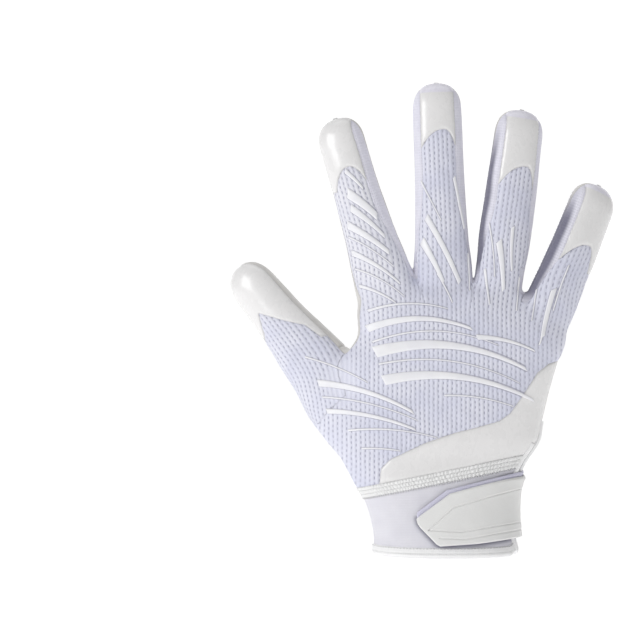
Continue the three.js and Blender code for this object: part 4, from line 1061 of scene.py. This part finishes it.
sewn = [stitch_row(finger_stitches(digits[name], 0.3), **FINGER_STITCH) for name in FINGERS]
sewn.append(stitch_row(finger_stitches(thumb, 0.55, inset=0.1, height=0.45), **FINGER_STITCH))
for name in FINGERS:
    digit = digits[name]
    nub = digit.place(np.full(3, digit.length - 0.2), np.array([-1.0, 0.2, 1.4]), np.array([-0.4, 0.0, -0.3]))
    sewn.append(stitch_row(to_surface(nub, times=5), **TIP_STITCH))
stitches = piece("finger_stitches", *joined(sewn), looks["thread"], "palm_leather")
raised_bars = [piece(name + "_raised", *make_rib(*row, height=0.6), looks["rib"], "rib_print", [name])
               for name, *row in RIBS]
thin = joined([make_rib(*row, height=0.42) for row in THIN_BARS])
raised_bars.append(piece("print_lines_raised", *thin, looks["rib"], "rib_print"))


# Bands round the wrist, on rays from the body's axis
def ring_points(angle, z):
    """Points of the hand's surface: angle 0 is the little finger's side, and grows to the palm."""
    left, right, front, back = (np.interp(z, *table) for table in hand_tables)
    c, s = np.cos(angle), np.sin(angle)
    power = 2 / HAND_SQUARENESS
    x = (right - left) / 2 + np.sign(c) * np.abs(c) ** power * (left + right) / 2
    y = np.sign(s) * np.abs(s) ** power * np.where(s > 0, front, back)
    return np.stack([x, y, z], -1)


def band_normal(p):
    return unit(gradient(p.reshape(-1, 3))).reshape(p.shape)


def even_angles(first, last, z, spacing):
    fine = np.linspace(first, last, 2000)
    p = ring_points(fine, np.full(2000, float(z)))
    run = np.r_[0, np.cumsum(np.linalg.norm(np.diff(p, axis=0), axis=1))]
    count = max(4, int(run[-1] / spacing))
    at = np.linspace(0, run[-1], count)
    return np.interp(at, run, fine), at


def angle_at_x(x, z, front=False):
    """Angle where the back (or the front) of the band is at x."""
    fine = np.linspace(0, math.pi, 1500) * (1 if front else -1)
    p = ring_points(fine, np.full(1500, float(z)))
    return fine[np.abs(p[:, 0] - x).argmin()]


def angle_at_y(y, z):
    fine = np.linspace(-0.9, 0.9, 1500)
    p = ring_points(fine, np.full(1500, float(z)))
    return fine[np.abs(p[:, 1] - y).argmin()]


def make_elastic():
    """Shirred band: rows of small puffs between stitched lines, overcast along its lower edge."""
    palm_x = np.interp(1.0, [row[1] for row in PALM_EDGE], [row[0] for row in PALM_EDGE]) * CUFF["width"]
    first = -2 * math.pi + angle_at_x(palm_x, 38, True)
    last = angle_at_y(SLIT["edge_y"] - SLIT["width"] - 1.6, 47)
    angles, run = even_angles(first, last, 42, 0.3)
    wander = run + 0.35 * np.sin(run * 0.43) + 0.2 * np.sin(run * 1.13)
    rows = np.linspace(-1, 1, 25)
    out, uv, edge, lines = [], [], [], {}
    for row in rows:
        z = np.full(len(angles), float(ELASTIC["rise"]))
        for _ in range(4):
            p = ring_points(angles, z)
            z = ELASTIC["rise"] + ELASTIC["slope"] * p[:, 0] + row * (elastic_half + 0.35)
        p = ring_points(angles, z)
        n = band_normal(p)
        lane = (row + 1) * 1.5
        shift = math.floor(min(lane, 2.99)) * 0.5
        puff = np.abs(np.sin(math.pi * (wander / PUFF_PITCH + shift))) ** 0.7
        puff = puff * abs(math.sin(math.pi * lane)) ** 0.6
        up = 0.1 + 0.75 * puff - 0.9 * (row == -1) - 0.45 * (row == 1)
        out.append(p + n * up[:, None])
        uv.append(np.stack([run, np.full(len(run), row * 3)], -1))
        # Low values between the puffs darken the fabric there: painted shade in the folds of the gathers
        edge.append(np.maximum(0.1 + 1.7 * puff, 1.2 * (row > 0.95)))
        lines[round(float(row), 3)] = p + n * 0.25
    uv = np.concatenate(uv)
    grid = grid_faces(len(rows), len(angles))
    band = piece("elastic_gathered", np.concatenate(out), grid, looks["elastic"], "elastic",
                 ["wrist_elastic"], {"edge": np.concatenate(edge)}, (uv[:, 0], uv[:, 1]))
    sewn = [stitch_row(lines[key], **PUFF_STITCH) for key in (-0.333, 0.333)]
    sewn.append(stitch_row(lines[0.917], **TOP_STITCH))
    sewn.append(stitch_row(lines[-1.0], **OVERCAST_STITCH))
    return band, piece("elastic_stitches", *joined(sewn), looks["thread"], "elastic")


elastic, elastic_seam = make_elastic()


def make_hem():
    """Rolled binding round the wrist opening, closed and turned up a little at the slit."""
    first = angle_at_y(SLIT["edge_y"] - SLIT["width"] - 0.2, 3)
    last = angle_at_y(SLIT["edge_y"] + 0.2, 3) - 2 * math.pi
    angles, run = even_angles(last, first, 2, 0.7)
    around = np.linspace(0, 2 * math.pi, 25)[:-1]
    ends = np.minimum(run, run[-1] - run)
    rise = ROLL["arch"] * (1 - np.abs(np.sin(angles))) + ROLL["end_lift"] * (1 - smooth(ends, 0, 6))
    shrink = np.sqrt(np.clip(1 - (1 - np.clip(ends / 1.6, 0, 1)) ** 2, 0.0, 1))
    out, uv = [], []
    for turn in around:
        c, d = math.cos(turn), math.sin(turn)
        z = ROLL["rise"] + rise + ROLL["half_height"] * np.sign(d) * abs(d) ** 0.8 * shrink
        p = ring_points(angles, np.maximum(z, 0.0))
        p[:, 2] = z
        n = band_normal(p)
        n[:, 2] = 0
        half = ROLL["half_width"] * np.sign(c) * abs(c) ** 0.7
        up = -ROLL["inset"] + (half + 0.05 * np.sin(run * 2.2)) * shrink
        out.append(p + n * up[:, None])
        uv.append(np.stack([run, np.full(len(run), turn * 1.4)], -1))
    grid = grid_faces(len(angles), len(around), True)
    out, uv = np.stack(out, 1).reshape(-1, 3), np.stack(uv, 1).reshape(-1, 2)
    roll = piece("hem_rolled", out, grid, looks["binding"], "binding", ["hem_binding"],
                 {"edge": np.full(len(out), 3.0)}, (uv[:, 0], uv[:, 1]))
    line = ring_points(angles, 4.9 + rise)
    row = stitch_row(line + band_normal(line) * 0.7, **HEM_STITCH)
    return roll, piece("hem_stitches", *row, looks["thread"], "binding")


hem, hem_seam = make_hem()


def make_slit_bindings():
    top_z = {"back": SLIT["top"], "palm": SLIT["palm_top"]}
    for side, y0 in (("back", SLIT["edge_y"] - SLIT["width"]), ("palm", SLIT["edge_y"])):
        sign = -1 if side == "back" else 1
        z = np.linspace(3.5, top_z[side], 70)
        around = np.linspace(0, 2 * math.pi, 21)[:-1]
        out = []
        for zz in z:
            angle = angle_at_y(y0 + sign, zz)
            base = ring_points(np.array([angle]), np.array([zz]))
            n = band_normal(base)[0]
            across = np.array([0.0, sign, 0.0])
            across = across - n * (across @ n)
            across /= np.linalg.norm(across)
            for turn in around:
                c, s = math.cos(turn), math.sin(turn)
                wide = 1.5 * np.sign(c) * abs(c) ** 0.8
                deep = -0.5 + 1.5 * np.sign(s) * abs(s) ** 0.8
                out.append(base[0] + across * wide + n * deep)
        out = np.array(out)
        uv = (np.repeat(z, len(around)), np.tile(around, len(z)))
        grid = grid_faces(len(z), len(around), True)
        yield piece(f"slit_binding_{side}_folded", out, grid, looks["binding"], "binding",
                    [f"slit_binding_{side}"], {"edge": np.full(len(out), 3.0)}, uv)


slit_bindings = list(make_slit_bindings())


# Strap and backing, laid on the back of the cuff and round its little-finger side
def strap_sheet(name, look, slot, node, outline, base, thick, spacing, relief=None):
    first, last = angle_at_x(-17.5, 25), angle_at_y(9, 25)
    angles, run = even_angles(first, last, 25, spacing)
    zs = np.arange(3.0, 46.0, spacing)
    grid_a, grid_z = np.meshgrid(angles, zs)
    p = ring_points(grid_a.ravel(), grid_z.ravel())
    side = ring_points(np.zeros(len(p)), p[:, 2])[:, 0]
    flat_x = np.where(p[:, 1] < 0, p[:, 0], 2 * side - p[:, 0] + p[:, 1] * 0.6)
    inside = polygon_distance(flat_x, p[:, 2], outline)
    quads = grid_faces(len(zs), len(angles))
    tris = np.concatenate([quads[:, [0, 1, 2]], quads[:, [0, 2, 3]]])
    arc = np.tile(run, len(zs))
    data = np.column_stack([p, band_normal(p), arc, p[:, 2], flat_x])
    data, tris = clip(data, tris, inside)
    p, n, edge, x = data[:, :3], data[:, 3:6], data[:, -1], data[:, 8]
    lip = np.clip(edge / 0.7, 0, 1)
    up = base + thick * (0.15 + 0.85 * np.sqrt(1 - (1 - lip) ** 2))
    if relief is not None:
        up = up + relief(x, p[:, 2])
    sewn_down = 1 - smooth(run[-1] - data[:, 6], 0, 3.5)
    up = lerp(up, np.full(len(up), 0.3 * base - 0.9), sewn_down)
    return piece(name, p + n * up[:, None], tris, look, slot, [node], {"edge": edge},
                 (data[:, 6], data[:, 7]))


def strap_relief(x, z):
    """Incised lines inside the strap's edge, and a shallow bare field between them."""
    upper = [(-9.5, 14.2), (2.2, 25.2), (36, 36), (44, 37)]
    lower = [(-9.5, 14.2), (6, 13.2), (37.5, 18.5), (46, 19)]
    second = [(-4.5, 10.2), (8, 9.6), (37.5, 14.6), (46, 15)]
    out = np.zeros(len(x))
    for line in (upper, lower, second):
        gap = polygon_distance(x, z, line, False)
        out += 0.16 * np.exp(-(gap**2)) - 0.62 * np.exp(-((gap / 0.36) ** 2))
    field = polygon_distance(x, z, [*upper, *lower[::-1][:-1]])
    return out - 0.18 * smooth(field, 0.2, 0.9)


spacing = 0.35
backing = strap_sheet("strap_backing_cloth", looks["backing"], "strap_backing", "strap_backing",
                      strap_outline(1.6), base=1.0, thick=1.2, spacing=spacing * 1.5)
strap_sheet("strap_moulded", looks["strap"], "strap_rubber", "closure_strap", strap_outline(),
            base=2.5, thick=STRAP["thick"], spacing=spacing, relief=strap_relief)


def make_tab():
    """Woven pull tab on the palm side, folded under the hem."""
    count = 30
    across = np.linspace(-1, 1, count)
    low, high = 0.4, TAB["length"] - TAB["below_hem"]
    near = angle_at_x(TAB["centre_x"] + TAB["width"] / 2, 10, True)
    angles = np.linspace(near, angle_at_x(-34.6, 10, True), count)
    rows, uv = [], []
    for z in np.linspace(high, low + 1, 80):
        p = ring_points(angles, np.full(count, max(z, 0.5)))
        n = band_normal(p)
        p[:, 2] = z
        lip = 1 - 0.5 * np.abs(across) ** 8
        rows.append(p + n * (1.0 + 1.5 * lip)[:, None] * [1, 1, 0])
        uv.append(np.stack([across * TAB["width"] / 2, np.full(count, z)], -1))
    last, out_way = rows[-1], n * [1, 1, 0]
    for angle in np.linspace(0.3, math.pi, 9):
        drop = last + out_way * (math.cos(angle) - 1)
        drop[:, 2] -= math.sin(angle)
        rows.append(drop)
        uv.append(np.stack([uv[0][:, 0], np.full(count, -angle)], -1))
    out, uv = np.concatenate(rows), np.concatenate(uv)
    return piece("pull_tab_woven", out, grid_faces(len(rows), count), looks["tab"], "pull_tab",
                 ["pull_tab"], {"edge": np.full(len(out), 3.0)}, (uv[:, 0], uv[:, 1]))


tab = make_tab()


# Cloth and leather: each panel was cut a little smaller than what it is stretched over; this works out each
# panel's flat size from its area
CUT_SMALLER = 0.97
LEAST_FILL = 0.35  # least share of its flat rectangle that a sheet fills


def declare_sheet(obj):
    areas = np.empty(len(obj.data.polygons))
    obj.data.polygons.foreach_get("area", areas)
    area = float(areas.sum()) * CUT_SMALLER
    place = np.empty(3 * len(obj.data.vertices))
    obj.data.vertices.foreach_get("co", place)
    _, width, length = sorted(float(side) for side in np.ptp(place.reshape(-1, 3), axis=0))
    if area > width * length:
        width = 1.02 * area / length
    if area < LEAST_FILL * width * length:
        width = area / LEAST_FILL / length


declare_sheet(palm_skin)
declare_sheet(thumb_skin)
declare_sheet(knit_skin)
declare_sheet(caps_skin)
declare_sheet(thumb_cap_skin)
declare_sheet(wrist_skin)
declare_sheet(walls_skin)
declare_sheet(cuff_skin)
declare_sheet(lining_skin)
declare_sheet(backing)
declare_sheet(tab)


# Stage, lights and camera
def stage_look():
    look = Look("studio_paper", 0.9)
    look.shader.inputs["Emission Color"].default_value = (1, 1, 1, 1)
    look.shader.inputs["Emission Strength"].default_value = 0.42
    tone = look.noise(look.object_place(), 3.0, 2.0)
    look.colour(look.mix(tone, (0.9, 0.9, 0.9, 1), (0.92, 0.92, 0.92, 1)))
    return look.material


def make_stage():
    floor, wall, bend = -60, 3400, 600
    profile = [(-4000, floor), (0, floor), (wall - bend, floor)]
    for turn in np.linspace(0, math.pi / 2, 12)[1:]:
        profile.append((wall - bend + bend * math.sin(turn), floor + bend * (1 - math.cos(turn))))
    profile.append((wall, 3600))
    xs = np.linspace(-4000, 4000, 9)
    out = np.array([(x, y, z) for y, z in profile for x in xs])
    obj = piece("studio_sweep", out, grid_faces(len(profile), len(xs)), stage_look())


make_stage()


def area_light(name, place, target, size, power):
    data = bpy.data.lights.new(name, "AREA")
    data.shape = "RECTANGLE"
    data.size, data.size_y = size
    data.energy = power
    obj = bpy.data.objects.new(name, data)
    obj.location = place
    way = obj.location.copy()
    way.x, way.y, way.z = (target[i] - place[i] for i in range(3))
    obj.rotation_euler = way.to_track_quat("-Z", "Y").to_euler()
    bpy.context.scene.collection.objects.link(obj)


aim = (-0.01, 0, 0.12)
area_light("key", (-2.3, -1.5, 1.1), aim, (1.4, 1.4), 29)
area_light("fill", (1.6, -1.6, 0.6), aim, (1.8, 1.8), 1.5)
area_light("top", (0.0, 0.4, 2.2), aim, (2.0, 1.2), 6)
world = bpy.data.worlds.new("studio")
world.use_nodes = True
background = world.node_tree.nodes["Background"]
background.inputs["Color"].default_value = (1, 1, 1, 1)
background.inputs["Strength"].default_value = 0.42
bpy.context.scene.world = world
bpy.context.scene.view_settings.view_transform = "Standard"

CENTRE_X, CENTRE_Z, VIEW_WIDTH, DISTANCE = -63.75, 118.5, 320, 2400
camera = bpy.data.cameras.new("camera")
camera.sensor_width = 36
camera.lens = 36 * DISTANCE / VIEW_WIDTH
camera.clip_end = 20
camera_object = bpy.data.objects.new("camera", camera)
camera_object.location = (CENTRE_X * MM, -DISTANCE * MM, CENTRE_Z * MM)
camera_object.rotation_euler = (math.pi / 2, 0, 0)
bpy.context.scene.collection.objects.link(camera_object)
bpy.context.scene.camera = camera_object
